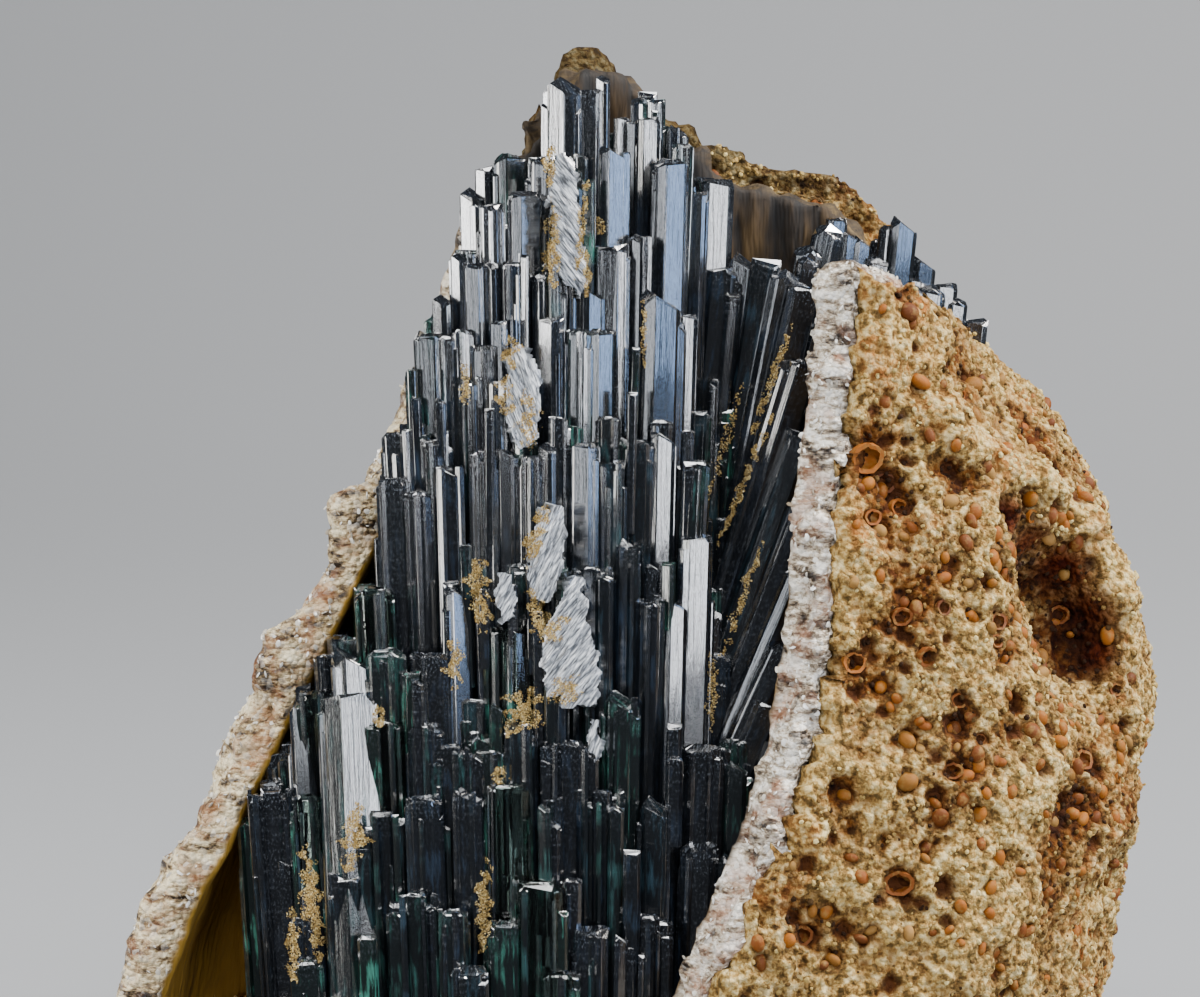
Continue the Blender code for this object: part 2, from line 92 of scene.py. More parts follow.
def apply_modifier(thing, kind, **settings):
    made = thing.modifiers.new(kind.lower(), kind)
    for name, value in settings.items():
        setattr(made, name, value)
    pick(thing)
    bpy.ops.object.modifier_apply(modifier=made.name)


def reshaped_copy(node, name, voxel, smoothing):
    """A copy of a CAD node's mesh, merged, remade in even small faces and smoothed."""
    made = bpy.data.objects.new(name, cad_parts[node].data.copy())
    bpy.context.scene.collection.objects.link(made)
    made.data.materials.clear()
    pick(made)
    bpy.ops.object.mode_set(mode="EDIT")
    bpy.ops.mesh.select_all(action="SELECT")
    bpy.ops.mesh.remove_doubles(threshold=0.001 * MM)
    bpy.ops.object.mode_set(mode="OBJECT")
    apply_modifier(made, "REMESH", mode="VOXEL", voxel_size=voxel * MM)
    apply_modifier(made, "SMOOTH", factor=0.5, iterations=smoothing)
    return made


def points_of(mesh):
    """Places and normals of a mesh's points, in millimetres."""
    places = np.empty(len(mesh.vertices) * 3)
    mesh.vertices.foreach_get("co", places)
    normals = np.empty(len(mesh.vertices) * 3)
    mesh.vertex_normals.foreach_get("vector", normals)
    return places.reshape(-1, 3) / MM, normals.reshape(-1, 3)


def put_points(mesh, places):
    """Moves a mesh's points to places in millimetres."""
    mesh.vertices.foreach_set("co", (places * MM).ravel())
    mesh.update()


def point_values(mesh, name, values):
    mesh.attributes.new(name, "FLOAT", "POINT").data.foreach_set("value", np.asarray(values, float))


def surface_of(mesh):
    """A mesh's faces, in millimetres, for finding what lies on a line or nearest a place."""
    faces = [list(face.vertices) for face in mesh.polygons]
    return BVHTree.FromPolygons([v.co / MM for v in mesh.vertices], faces)


def waves(places, size, seed=0.0):
    """Smooth noise from about -1 to 1 at each place, with lumps of that size."""
    return np.array([noise.noise(Vector((p[0] / size + seed, p[1] / size, p[2] / size))) for p in places])


def smooth_step(low, high, values):
    t = np.clip((values - low) / (high - low), 0.0, 1.0)
    return t * t * (3.0 - 2.0 * t)


stone = reshaped_copy("ironstone_matrix", "ironstone", STONE_VOXEL, 8)
places, normals = points_of(stone.data)
shows = (places[:, 0] > 5.0) & (normals[:, 0] - normals[:, 1] > 0.25) & (places[:, 2] > 2.0)
pick(stone)
bpy.ops.object.mode_set(mode="EDIT")
bpy.ops.mesh.select_all(action="DESELECT")
bpy.ops.object.mode_set(mode="OBJECT")
stone.data.vertices.foreach_set("select", shows)
for face in stone.data.polygons:
    face.select = all(shows[i] for i in face.vertices)
bpy.ops.object.mode_set(mode="EDIT")
bpy.ops.mesh.select_mode(type="FACE")
bpy.ops.mesh.subdivide(number_cuts=1)
bpy.ops.object.mode_set(mode="OBJECT")

places, normals = points_of(stone.data)
shown = smooth_step(0.1, 0.5, normals[:, 0] - normals[:, 1]) * smooth_step(4.0, 6.0, places[:, 0])
cut = smooth_step(0.3, 1.6, places[:, 2])
shell_wall = surface_of(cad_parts["fossil_shell"].data)
contact = np.zeros(len(places))
for i, (place, normal) in enumerate(zip(places, normals)):
    far = shell_wall.ray_cast(Vector(place), Vector(normal), STONE_REACH)[3]
    contact[i] = 0.0 if far is None else far + 0.05
within = contact > 0.0
relief = np.zeros(len(places))
for size, depth in STONE_COAT:
    relief += depth * waves(places, size, size * 7.0)
for x, y, z, radius, depth in STONE_FORMS:
    far = np.linalg.norm(places - (x, y, z), axis=1) / radius
    relief += depth * np.exp(-far ** 2)
relief[within] = 0.0
grain = STONE_GRAIN[1] * waves(places, STONE_GRAIN[0], 3.0) * (0.3 + 0.7 * shown)

# Sites of the ooids: spread over the shown face, closest together half-way up
dice = random.Random(7)
front_right = [i for i in np.flatnonzero(shown > 0.6) if places[i][2] > 3.0]
sites = []
taken = set()
tries = 0
while len(sites) < OOID_COUNT and tries <= OOID_TRIES:
    i = dice.choice(front_right)
    x, y, z = places[i]
    crowd = 0.25 + 0.75 * math.exp(-((z - CROWD_Z) / CROWD_REACH) ** 2)
    if dice.random() > crowd * (0.55 + 0.9 * noise.noise(Vector((x, y, z)) / 5.0)):
        tries += 1
        continue
    cell = tuple(int(c // OOID_SPACING) for c in (x, y, z))
    if cell in taken:
        continue
    taken.add(cell)
    radius = dice.uniform(*OOID_RADIUS) * (1.25 if dice.random() < 0.12 else 1.0)
    sites.append((i, radius, dice.random() < SOCKET_SHARE))

cups = []
for x, y, z, radius in CUPS:
    i = min(front_right, key=lambda near: sum((places[near] - (x, y, z)) ** 2))
    cups.append((i, radius))
    sites.append((i, radius, True))

tree = KDTree(len(places))
for i, place in enumerate(places):
    tree.insert(place, i)
tree.balance()
# socket marks the empty pits and the rings round the ooids, where the stone's colour is darkened as painted
# shade
socket = np.zeros(len(places))
for i, radius, fallen_out in sites:
    for _, near, far in tree.find_range(places[i], radius * 1.5):
        bowl = max(0.0, 1.0 - (far / (radius * 1.25)) ** 2)
        if fallen_out:
            relief[near] -= 1.1 * radius * bowl
            socket[near] = max(socket[near], bowl)
        else:
            relief[near] -= 0.7 * radius * bowl
            socket[near] = max(socket[near], 0.75 * bowl)
grain[within] = 0.0
for i in np.flatnonzero((places[:, 0] > 3.0) & ~within):
    cover = shell_wall.find_nearest(Vector(places[i]))[3]
    relief[i] = max(relief[i], min(0.0, 0.35 - cover))
    if cover < 0.6:
        grain[i] = max(grain[i], 0.0)
places += normals * ((contact + relief + grain) * cut)[:, None]
places[:, 2] = np.maximum(places[:, 2], 0.0)
put_points(stone.data, places)
# cave marks the slanting hollow, whose colour is darkened as painted shade
cave = np.zeros(len(places))
for x, y, z, radius in CAVE:
    cave = np.maximum(cave, np.exp(-(np.linalg.norm(places - (x, y, z), axis=1) / radius) ** 4))
point_values(stone.data, "socket", socket)
point_values(stone.data, "cave", cave)
# relief also sets painted shade: the stone's colour is darker where its surface lies low
point_values(stone.data, "relief", np.clip(0.5 + 0.5 * (relief + 1.6 * grain), 0.0, 1.0))
# crest marks the top at the back, whose colour is darkened as painted shade
point_values(stone.data, "crest", smooth_step(48.0, 56.0, places[:, 2]) * smooth_step(0.0, 4.0, places[:, 1]))
pick(stone)
bpy.ops.object.shade_smooth()


def linear(code):
    """An sRGB hex colour as linear RGBA."""
    parts = [int(code[i:i + 2], 16) / 255 for i in (1, 3, 5)]
    return (*[c / 12.92 if c <= 0.04045 else ((c + 0.055) / 1.055) ** 2.4 for c in parts], 1.0)


def set_inputs(tree, node, values):
    """Sets a node's inputs to numbers or hex colours, or links them to a socket or a node's first output."""
    for socket, value in values.items():
        if isinstance(value, bpy.types.Node):
            value = next(output for output in value.outputs if output.enabled)
        if isinstance(value, bpy.types.NodeSocket):
            tree.links.new(value, node.inputs[socket])
        else:
            node.inputs[socket].default_value = linear(value) if isinstance(value, str) else value


def add_node(tree, kind, inputs=(), stops=(), **settings):
    """One node with its settings, its inputs and its colour stops."""
    made = tree.nodes.new("ShaderNode" + kind)
    for name, value in settings.items():
        setattr(made, name, value)
    set_inputs(tree, made, dict(inputs))
    for i, (place, colour) in enumerate(stops):
        stop = made.color_ramp.elements[i] if i < 2 else made.color_ramp.elements.new(place)
        stop.position = place
        stop.color = linear(colour)
    return made


def new_material(name):
    made = bpy.data.materials.new(name)
    made.use_nodes = True
    return made, made.node_tree, made.node_tree.nodes["Principled BSDF"]


def per_mm(size):
    """Noise scale whose features are that many millimetres across."""
    return 1.0 / (size * MM)


# Weathered oolitic ironstone: dry and matt, with a crumbly ochre skin full of pores and rusty stains. The
# darkness of the pores is painted shade between the grains; the low places, pits, hollow and top at the back
# are painted shade too.
iron, tree, shader = new_material("weathered_oolitic_ironstone")
at = add_node(tree, "TexCoord").outputs["Object"]
lump = add_node(tree, "TexNoise", {"Vector": at, "Scale": per_mm(6.0), "Detail": 5.0, "Roughness": 0.6})
sand = add_node(tree, "TexNoise", {"Vector": at, "Scale": per_mm(0.55), "Detail": 4.0, "Roughness": 0.65})
grit = add_node(tree, "TexVoronoi", {"Vector": at, "Scale": per_mm(0.4)})
rust = add_node(tree, "TexNoise", {"Vector": at, "Scale": per_mm(7.0), "Detail": 4.0, "Roughness": 0.65,
                                   "W": 4.0}, noise_dimensions="4D")
ground = add_node(tree, "ValToRGB", {"Fac": lump}, ((0.32, "#5E4628"), (0.68, "#B5975A"), (0.5, "#94753E")))
# Painted shade: the darkest speckles stand for shade in the pores between the grains
speckle = add_node(tree, "ValToRGB", {"Fac": sand}, ((0.37, "#1E1106"), (0.64, "#E6D29C"), (0.43, "#6E4F28"),
                                                     (0.505, "#B39254")))
mixed = add_node(tree, "Mix", {0: 0.72, 6: ground, 7: speckle}, data_type="RGBA")
rusty = add_node(tree, "MapRange", {"Value": rust, "From Min": 0.54, "From Max": 0.68, "To Max": 0.6})
stained = add_node(tree, "Mix", {0: rusty, 6: mixed, 7: "#A05A22"}, data_type="RGBA")
# Painted shade: the colour is multiplied darker where the surface lies low, from the relief attribute
hollow = add_node(tree, "Attribute", attribute_name="relief").outputs["Fac"]
shade = add_node(tree, "ValToRGB", {"Fac": hollow}, ((0.05, "#42250F"), (0.54, "#FFFFFF"), (0.28, "#987046")))
deep = add_node(tree, "Mix", {0: 1.0, 6: stained, 7: shade}, data_type="RGBA", blend_type="MULTIPLY")
# Painted shade: dark reddish brown in the empty pits and the rings round the ooids
empty = add_node(tree, "Attribute", attribute_name="socket").outputs["Fac"]
inside = add_node(tree, "Mix", {0: empty, 6: deep, 7: "#4A2812"}, data_type="RGBA")
# Painted shade: the slanting hollow is darkened, with a rusty tint
within = add_node(tree, "Attribute", attribute_name="cave").outputs["Fac"]
cave_painted_shade = add_node(tree, "Mix", {0: within, 6: "#FFFFFF", 7: "#7A3C18"}, data_type="RGBA")
cave_shaded_colour = add_node(tree, "Mix", {0: 1.0, 6: inside, 7: cave_painted_shade}, data_type="RGBA", blend_type="MULTIPLY")
# Painted shade: the top at the back is darkened towards grey
crest = add_node(tree, "Attribute", attribute_name="crest").outputs["Fac"]
crest_painted_shade = add_node(tree, "Mix", {0: crest, 6: "#FFFFFF", 7: "#77787A"}, data_type="RGBA")
crest_shaded_colour = add_node(tree, "Mix", {0: 1.0, 6: cave_shaded_colour, 7: crest_painted_shade}, data_type="RGBA", blend_type="MULTIPLY")
height = add_node(tree, "Math", {0: sand, 1: grit}, operation="SUBTRACT")
bump = add_node(tree, "Bump", {"Height": height, "Strength": 1.0, "Distance": 0.3 * MM})
set_inputs(tree, shader, {"Base Color": crest_shaded_colour, "Normal": bump, "Roughness": 0.95,
                          "Specular IOR Level": 0.15})
stone.data.materials.append(iron)
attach(stone, "root")
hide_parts("ironstone_matrix")

# Ooids
# Round grains of iron oxide, about a millimetre across, that the ironstone is full of. They stand half
# out of its weathered face; one mesh holds the whole ones and another the split ones.
CUP_SHARE = 0.25  # sites of a fallen-out ooid where a split one is left


def sphere(subdivisions):
    """A ball of radius 1 with few faces, to be copied."""
    bpy.ops.object.select_all(action="DESELECT")
    bpy.ops.mesh.primitive_ico_sphere_add(subdivisions=subdivisions, radius=1.0)
    return bpy.context.object


def tumbled(spot, sizes):
    """A copy's matrix at a place, with three half sizes, turned any way."""
    spin = Euler([dice.uniform(0, math.tau) for _ in range(3)]).to_matrix().to_4x4()
    return Matrix.Translation(spot) @ spin @ Matrix.Diagonal((*sizes, 1.0))


def joined_copies(name, form, copies):
    """One mesh of many copies of a form, which goes: each copy is a matrix in mm and a tint from 0 to 1."""
    shape = np.array([v.co for v in form.data.vertices])
    faces = [list(face.vertices) for face in form.data.polygons]
    places = []
    polygons = []
    tints = []
    for matrix, tint in copies:
        turn = np.array(matrix)
        start = len(places) * len(shape)
        places.append(shape @ turn[:3, :3].T + turn[:3, 3])
        polygons += [[i + start for i in face] for face in faces]
        tints += [tint] * len(shape)
    mesh = bpy.data.meshes.new(name)
    mesh.from_pydata((np.concatenate(places) * MM).tolist(), [], polygons)
    point_values(mesh, "tint", tints)
    made = bpy.data.objects.new(name, mesh)
    bpy.context.scene.collection.objects.link(made)
    bpy.data.objects.remove(form, do_unlink=True)
    return made


copies = []
for i, radius, fallen_out in sites:
    if fallen_out:
        continue
    centre = Vector(places[i]) + Vector(normals[i]) * radius * dice.uniform(-0.15, 0.2)
    sizes = (radius * 1.1, radius * dice.uniform(0.6, 1.0), radius * dice.uniform(0.55, 0.9))
    copies.append((tumbled(centre, sizes), dice.random()))
ooids = joined_copies("ooids", sphere(2), copies)
pick(ooids)
bpy.ops.object.shade_smooth()

# A split ooid leaves a thin shell like a small cup, open to the outside
bpy.ops.object.select_all(action="DESELECT")
bpy.ops.mesh.primitive_uv_sphere_add(segments=16, ring_count=10, radius=1.0)
cup_form = bpy.context.object
bpy.ops.object.mode_set(mode="EDIT")
bpy.ops.mesh.select_all(action="SELECT")
bpy.ops.mesh.bisect(plane_co=(0, 0, 0.3), plane_no=(0.1, 0, 1), clear_outer=True)
bpy.ops.object.mode_set(mode="OBJECT")
for vert in cup_form.data.vertices:
    vert.co *= 1.0 + 0.2 * noise.noise(vert.co * 2.5)
apply_modifier(cup_form, "SOLIDIFY", thickness=0.26, offset=-1.0)
empty_sites = [(i, radius) for i, radius, fallen_out in sites[:-len(CUPS)] if fallen_out]
cups += [(i, radius * 1.1) for i, radius in empty_sites if dice.random() < CUP_SHARE]
copies = []
for i, radius in cups:
    askew = Vector([dice.uniform(-0.3, 0.3) for _ in range(3)])
    outward = (Vector(normals[i]) + askew).to_track_quat("Z", "Y")
    size = Matrix.Diagonal((radius, radius * dice.uniform(0.75, 1.0), radius * 0.8, 1.0))
    centre = Vector(places[i]) + Vector(normals[i]) * radius * 0.45
    copies.append((Matrix.Translation(centre) @ outward.to_matrix().to_4x4() @ size, 0.5 * dice.random()))
split_ooids = joined_copies("split_ooids", cup_form, copies)
pick(split_ooids)
bpy.ops.object.shade_smooth_by_angle(angle=math.radians(40))

# Limonite ooids: smooth brown-orange grains with a dusty bloom
limonite, tree, shader = new_material("limonite_ooid")
at = add_node(tree, "TexCoord").outputs["Object"]
tint = add_node(tree, "Attribute", attribute_name="tint").outputs["Fac"]
body = add_node(tree, "ValToRGB", {"Fac": tint}, ((0.0, "#562A08"), (1.0, "#96703A"), (0.3, "#7C420C"),
                                                  (0.6, "#935512"), (0.85, "#75501C")))
bloom = add_node(tree, "TexNoise", {"Vector": at, "Scale": per_mm(0.5), "Detail": 3.0, "Roughness": 0.7})
dusty = add_node(tree, "MapRange", {"Value": bloom, "From Min": 0.5, "From Max": 0.66, "To Max": 0.7})
skin = add_node(tree, "Mix", {0: dusty, 6: body, 7: "#8C6A34"}, data_type="RGBA")
bump = add_node(tree, "Bump", {"Height": bloom, "Strength": 0.5, "Distance": 0.1 * MM})
set_inputs(tree, shader, {"Base Color": skin, "Normal": bump, "Roughness": 0.65, "Specular IOR Level": 0.25})
for thing in (ooids, split_ooids):
    thing.data.materials.append(limonite)
    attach(thing, "root")

# Sand grains
# Loose ochre grains, a quarter of a millimetre across, that crumble from the ironstone's weathered face.
GRAIN_COUNT = 7600
GRAIN_RADIUS = (0.1, 0.22)
copies = []
for _ in range(GRAIN_COUNT):
    i = dice.choice(front_right)
    spot = Vector(places[i]) + Vector([dice.uniform(-0.1, 0.1) for _ in range(3)]) - 0.05 * Vector(normals[i])
    radius = dice.uniform(*GRAIN_RADIUS)
    grain = tumbled(spot, (radius, radius * dice.uniform(0.6, 1.0), radius * dice.uniform(0.6, 1.0)))
    # Painted shade: a grain's tint is darker where the stone lies low, in the hollow and in the pits, with a
    # random spread
    shade = 0.5 + 0.8 * relief[i] - 0.9 * cave[i] - 0.6 * socket[i] + dice.uniform(-0.35, 0.4)
    copies.append((grain, min(1.0, max(0.0, shade))))
sand_grains = joined_copies("sand_grains", sphere(1), copies)

# Ochre sand: matt grains, each its own tint, darker in low places, pits and the hollow as painted shade
ochre, tree, shader = new_material("ochre_sand")
tint = add_node(tree, "Attribute", attribute_name="tint").outputs["Fac"]
body = add_node(tree, "ValToRGB", {"Fac": tint}, ((0.0, "#2E1B0C"), (1.0, "#C6B27A"), (0.35, "#7C5F32"),
                                                  (0.7, "#A88D52")))
set_inputs(tree, shader, {"Base Color": body, "Roughness": 0.9, "Specular IOR Level": 0.2})
sand_grains.data.materials.append(ochre)
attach(sand_grains, "root")

# Fossil shell
# The thick valve of a bivalve, broken open. Its fibrous calcite shows as a pale sparkling band along the
# broken front edges, and its inner face is stained golden brown behind the crystals.
SHELL_VOXEL = 0.4
SHELL_SWELL = 0.05
SHELL_ROUGH = ((2.4, 0.12), (0.9, 0.08))
RIM_ROUGH = ((3.4, 0.7), (1.5, 0.5), (0.65, 0.26))
# Chips and knobs along the broken left edge: x, y, z, radius and depth; + is a knob
RIM_FORMS = (
    (-19.9, -5.0, 29.2, 1.9, 1.5), (-20.2, -5.6, 25.6, 1.0, -1.7), (-16.4, -2.7, 36.8, 1.8, 1.4),
    (-17.8, -4.2, 32.8, 1.5, -0.8), (-23.9, -7.2, 18.6, 2.2, 0.5), (-22.2, -6.4, 22.3, 1.4, -0.5),
    (-26.6, -8.2, 13.6, 1.8, 0.7), (-14.2, -1.4, 39.8, 1.5, -0.6), (-15.4, -2.6, 36.5, 0.35, -0.6),
    (-15.9, -2.9, 35.6, 0.4, -0.7), (-15.5, -2.6, 34.9, 0.3, -0.5), (-6.2, 6.6, 56.3, 2.6, -1.6),
    (-13.6, -1.2, 41.5, 2.4, -1.6), (-12.2, 0.2, 45.0, 2.6, -1.5),
)
WALL = 3.4  # more material than this behind a point means that it is on the broken edge

shell = reshaped_copy("fossil_shell", "shell", SHELL_VOXEL, 6)
places, normals = points_of(shell.data)
solid = BVHTree.FromPolygons(places.tolist(), [list(face.vertices) for face in shell.data.polygons])
depth = np.empty(len(places))
for i, (place, normal) in enumerate(zip(places, normals)):
    start = Vector(place - 0.05 * normal)
    far = solid.ray_cast(start, Vector(-normal), 20.0)[3]
    depth[i] = far or 20.0
to_middle = np.array((2.5, 3.5)) - places[:, :2]
inner = smooth_step(-0.1, 0.1, (normals[:, :2] * to_middle).sum(1))
edge = smooth_step(WALL, WALL + 1.4, depth)
edge = np.maximum(edge, smooth_step(0.15, 0.45, -normals[:, 1]) * (1.0 - inner))
edge *= smooth_step(5.5, 3.5, places[:, 1])
left = smooth_step(2.0, -10.0, places[:, 0]) * smooth_step(52.0, 44.0, places[:, 2])
edge = np.maximum(edge, smooth_step(0.0, 0.4, left) * (1.0 - inner) * smooth_step(7.0, 1.0, places[:, 1]))
relief = np.zeros(len(places))
for size, amount in SHELL_ROUGH:
    relief += amount * waves(places, size, size * 5.0)
for size, amount in RIM_ROUGH:
    relief += amount * np.maximum(edge, 0.6 * (1.0 - inner)) * waves(places, size, size * 9.0)
relief += 0.5 * inner * smooth_step(3.0, 7.0, places[:, 1]) * waves(places * (1.0, 1.0, 0.16), 1.3, 2.0)
crest = smooth_step(48.0, 54.0, places[:, 2]) * (1.0 - inner)
relief += crest * (0.8 * waves(places, 1.7, 4.0) + 0.4 * waves(places, 0.8, 5.0))
for x, y, z, radius, amount in RIM_FORMS:
    far = np.linalg.norm(places - (x, y, z), axis=1) / radius
    relief += amount * np.exp(-far ** 2)
places += normals * (SHELL_SWELL + relief)[:, None]
put_points(shell.data, places)
point_values(shell.data, "edge", edge)
point_values(shell.data, "left", left)
point_values(shell.data, "inner", inner)
# crest marks the shell's top at the back, whose colour is darkened as painted shade
point_values(shell.data, "crest", smooth_step(44.0, 54.0, places[:, 2]) * smooth_step(2.0, 6.0, places[:, 1]))
pick(shell)
bpy.ops.object.shade_smooth()

# Fibrous calcite of a fossil shell: pale grey with pink and yellow stains, and cleavage glints
calcite, tree, shader = new_material("fibrous_shell_calcite")
at = add_node(tree, "TexCoord").outputs["Object"]
layers = add_node(tree, "Mapping", {"Vector": at, "Scale": (0.5, 0.5, 1.4)})
patch = add_node(tree, "TexNoise", {"Vector": layers, "Scale": per_mm(1.1), "Detail": 5.0, "Roughness": 0.75})
speck = add_node(tree, "TexVoronoi", {"Vector": at, "Scale": per_mm(0.35)})
stain = add_node(tree, "TexNoise", {"Vector": at, "Scale": per_mm(2.1), "Detail": 3.0, "W": 2.0},
                 noise_dimensions="4D")
band = add_node(tree, "ValToRGB", {"Fac": patch}, ((0.4, "#2A1F16"), (0.56, "#FCF6EA"), (0.455, "#84735F"),
                                                   (0.505, "#CABBA4")))
pink = add_node(tree, "MapRange", {"Value": stain, "From Min": 0.5, "From Max": 0.64, "To Max": 0.6})
blushed = add_node(tree, "Mix", {0: pink, 6: band, 7: "#A87658"}, data_type="RGBA")
left = add_node(tree, "Attribute", attribute_name="left").outputs["Fac"]
honey = add_node(tree, "Math", {0: left, 1: 0.7}, operation="MULTIPLY")
warm = add_node(tree, "Mix", {0: honey, 6: blushed, 7: "#FAE9B8"}, data_type="RGBA", blend_type="MULTIPLY")
fleck = add_node(tree, "MapRange", {"Value": speck.outputs["Color"], "From Min": 0.7, "From Max": 0.95,
                                    "To Max": 0.45})
broken = add_node(tree, "Mix", {0: fleck, 6: warm, 7: "#F4F0E6"}, data_type="RGBA")
streaks = add_node(tree, "Mapping", {"Vector": at, "Scale": (1.0, 1.0, 0.16)})
streak = add_node(tree, "TexNoise", {"Vector": streaks, "Scale": per_mm(1.2), "Detail": 3.0,
                                     "Roughness": 0.6})
lining = add_node(tree, "ValToRGB", {"Fac": streak}, ((0.36, "#120B06"), (0.72, "#86683A"), (0.47, "#33240F"),
                                                      (0.58, "#5A431D")))
outside = add_node(tree, "ValToRGB", {"Fac": patch}, ((0.36, "#2E2112"), (0.66, "#9A8150"), (0.5, "#64502E")))
which = add_node(tree, "Attribute", attribute_name="inner").outputs["Fac"]
golden = add_node(tree, "Math", {0: left, 1: 0.75}, operation="MULTIPLY")
lined = add_node(tree, "Mix", {0: golden, 6: lining, 7: "#A27B1C"}, data_type="RGBA")
faces = add_node(tree, "Mix", {0: which, 6: outside, 7: lined}, data_type="RGBA")
rim = add_node(tree, "Attribute", attribute_name="edge").outputs["Fac"]
colour = add_node(tree, "Mix", {0: rim, 6: faces, 7: broken}, data_type="RGBA")
# Painted shade: the top at the back is darkened towards grey
crest = add_node(tree, "Attribute", attribute_name="crest").outputs["Fac"]
dim = add_node(tree, "Mix", {0: crest, 6: "#FFFFFF", 7: "#8F8A80"}, data_type="RGBA")
dimmed = add_node(tree, "Mix", {0: 1.0, 6: colour, 7: dim}, data_type="RGBA", blend_type="MULTIPLY")
chips = add_node(tree, "Math", {0: speck, 1: rim}, operation="MULTIPLY")
layered = add_node(tree, "Math", {0: patch, 1: rim}, operation="MULTIPLY")
fibres = add_node(tree, "Math", {0: streak, 1: layered}, operation="ADD")
height = add_node(tree, "Math", {0: fibres, 1: chips}, operation="SUBTRACT")
bump = add_node(tree, "Bump", {"Height": height, "Strength": 1.0, "Distance": 0.4 * MM})
gloss = add_node(tree, "MapRange", {"Value": speck.outputs["Color"], "To Min": 0.2, "To Max": 0.75})
rough = add_node(tree, "Mix", {0: rim, 2: 0.8, 3: gloss})
set_inputs(tree, shader, {"Base Color": dimmed, "Normal": bump, "Roughness": rough})
shell.data.materials.append(calcite)
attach(shell, "root")
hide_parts("fossil_shell")

# Calcite glints
# Small cleavage flakes on the broken edge of the shell, which flash where they face the light.
FLAKE_COUNT = 3600
FLAKE_RADIUS = (0.08, 0.26)
dice = random.Random(31)
on_edge = np.flatnonzero((edge > 0.6) & (normals[:, 1] < 0.3))
copies = []
for _ in range(FLAKE_COUNT):
    i = on_edge[dice.randrange(len(on_edge))]
    radius = dice.uniform(*FLAKE_RADIUS)
    chip = tumbled(Vector(places[i]), (radius, radius * dice.uniform(0.5, 0.9), radius * 0.25))
    copies.append((chip, dice.random()))
flakes = joined_copies("calcite_glints", sphere(1), copies)

# Calcite cleavage flakes: pale and glassy
flake, tree, shader = new_material("calcite_cleavage_flakes")
tint = add_node(tree, "Attribute", attribute_name="tint").outputs["Fac"]
body = add_node(tree, "ValToRGB", {"Fac": tint}, ((0.0, "#8C7C66"), (1.0, "#F6F4EE"), (0.5, "#D5CFC2")))
set_inputs(tree, shader, {"Base Color": body, "Roughness": 0.1, "IOR": 1.66})
flakes.data.materials.append(flake)
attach(flakes, "root")

# Vivianite cluster
# Parallel prisms of dark blue-green vivianite, grown from the floor of the hollow. Their tips climb in
# steps to the back. A few forms are modelled once, and each crystal is a copy with its own length.
FOOT = 6.3
WORN = (0.025, 0.025, 0.08)  # how far worn tips are out of shape, as a share of the crystal's width
FORM_LENGTH = 4.0  # the forms are this long; a copy's foot is moved down to its own length
FORM_CUTS = {
    "chisel": (((0, -0.12, 0), (0.05, -0.62, 0.78)), ((0, 0.12, 0), (-0.05, 0.62, 0.78))),
    "slanted": (((0, 0, -0.35), (0.5, -0.22, 0.84)), ((-0.62, -0.3, -0.12), (-0.75, -0.25, 0.6))),
    "domed": (((0, 0, 0), (0.04, -0.06, 1.0)), ((0.5, 0, -0.03), (0.62, -0.1, 0.78)),
              ((-0.5, 0, -0.03), (-0.62, -0.1, 0.78)), ((0, -0.4, -0.03), (0, -0.62, 0.78)),
              ((0, 0.4, -0.03), (0, 0.62, 0.78))),
    "pointed": (((0, -0.1, 0), (0.55, -0.45, 0.7)), ((-0.1, -0.1, 0), (-0.6, -0.35, 0.7)),
                ((0, 0.1, 0), (0.1, 0.6, 0.8))),
    "flat": (((0, 0, 0), (-0.12, -0.16, 1.0)), ((0.6, -0.4, -0.08), (0.6, -0.5, 0.6))),
}


def prism_form(name, cuts, sides=8):
    """A flattened prism, 2 mm wide, with its tip cut to facets; one of eight sides has worn edges."""
    bpy.ops.object.select_all(action="DESELECT")
    bpy.ops.mesh.primitive_cylinder_add(vertices=sides, radius=1.0, depth=FORM_LENGTH + 1.0,
                                        location=(0, 0, 0.5 - FORM_LENGTH / 2),
                                        rotation=(0, 0, math.pi / sides))
    made = bpy.context.object
    made.name = name
    bpy.ops.object.transform_apply(location=True, rotation=True, scale=True)
    bpy.ops.object.mode_set(mode="EDIT")
    bpy.ops.mesh.select_all(action="SELECT")
    bpy.ops.transform.resize(value=(1.08, 0.82, 1.0))
    bpy.ops.mesh.select_all(action="DESELECT")
    bpy.ops.object.mode_set(mode="OBJECT")
    for vert in made.data.vertices:
        vert.select = abs(vert.co.x) < 0.6
    bpy.ops.object.mode_set(mode="EDIT")
    bpy.ops.mesh.select_mode(type="VERT")
    bpy.ops.transform.resize(value=(1.45, 1.0, 1.0))
    for point, normal in cuts:
        bpy.ops.mesh.select_all(action="SELECT")
        bpy.ops.mesh.bisect(plane_co=point, plane_no=normal, use_fill=True, clear_outer=True)
    bpy.ops.object.mode_set(mode="OBJECT")
    if sides < 8:
        return made
    for edge in made.data.edges:
        ends = [made.data.vertices[i].co.z for i in edge.vertices]
        edge.select = max(ends) > -FORM_LENGTH + 0.1
    for face in made.data.polygons:
        face.select = False
    bpy.ops.object.mode_set(mode="EDIT")
    bpy.ops.mesh.select_mode(type="EDGE")
    bpy.ops.mesh.bevel(offset=0.075, segments=1, affect="EDGES", clamp_overlap=True)
    bpy.ops.object.mode_set(mode="OBJECT")
    return made


forms = [prism_form(name, cuts) for name, cuts in FORM_CUTS.items()]
forms += [prism_form("sliver_" + name, FORM_CUTS[name][:2], 5) for name in ("chisel", "slanted", "flat")]


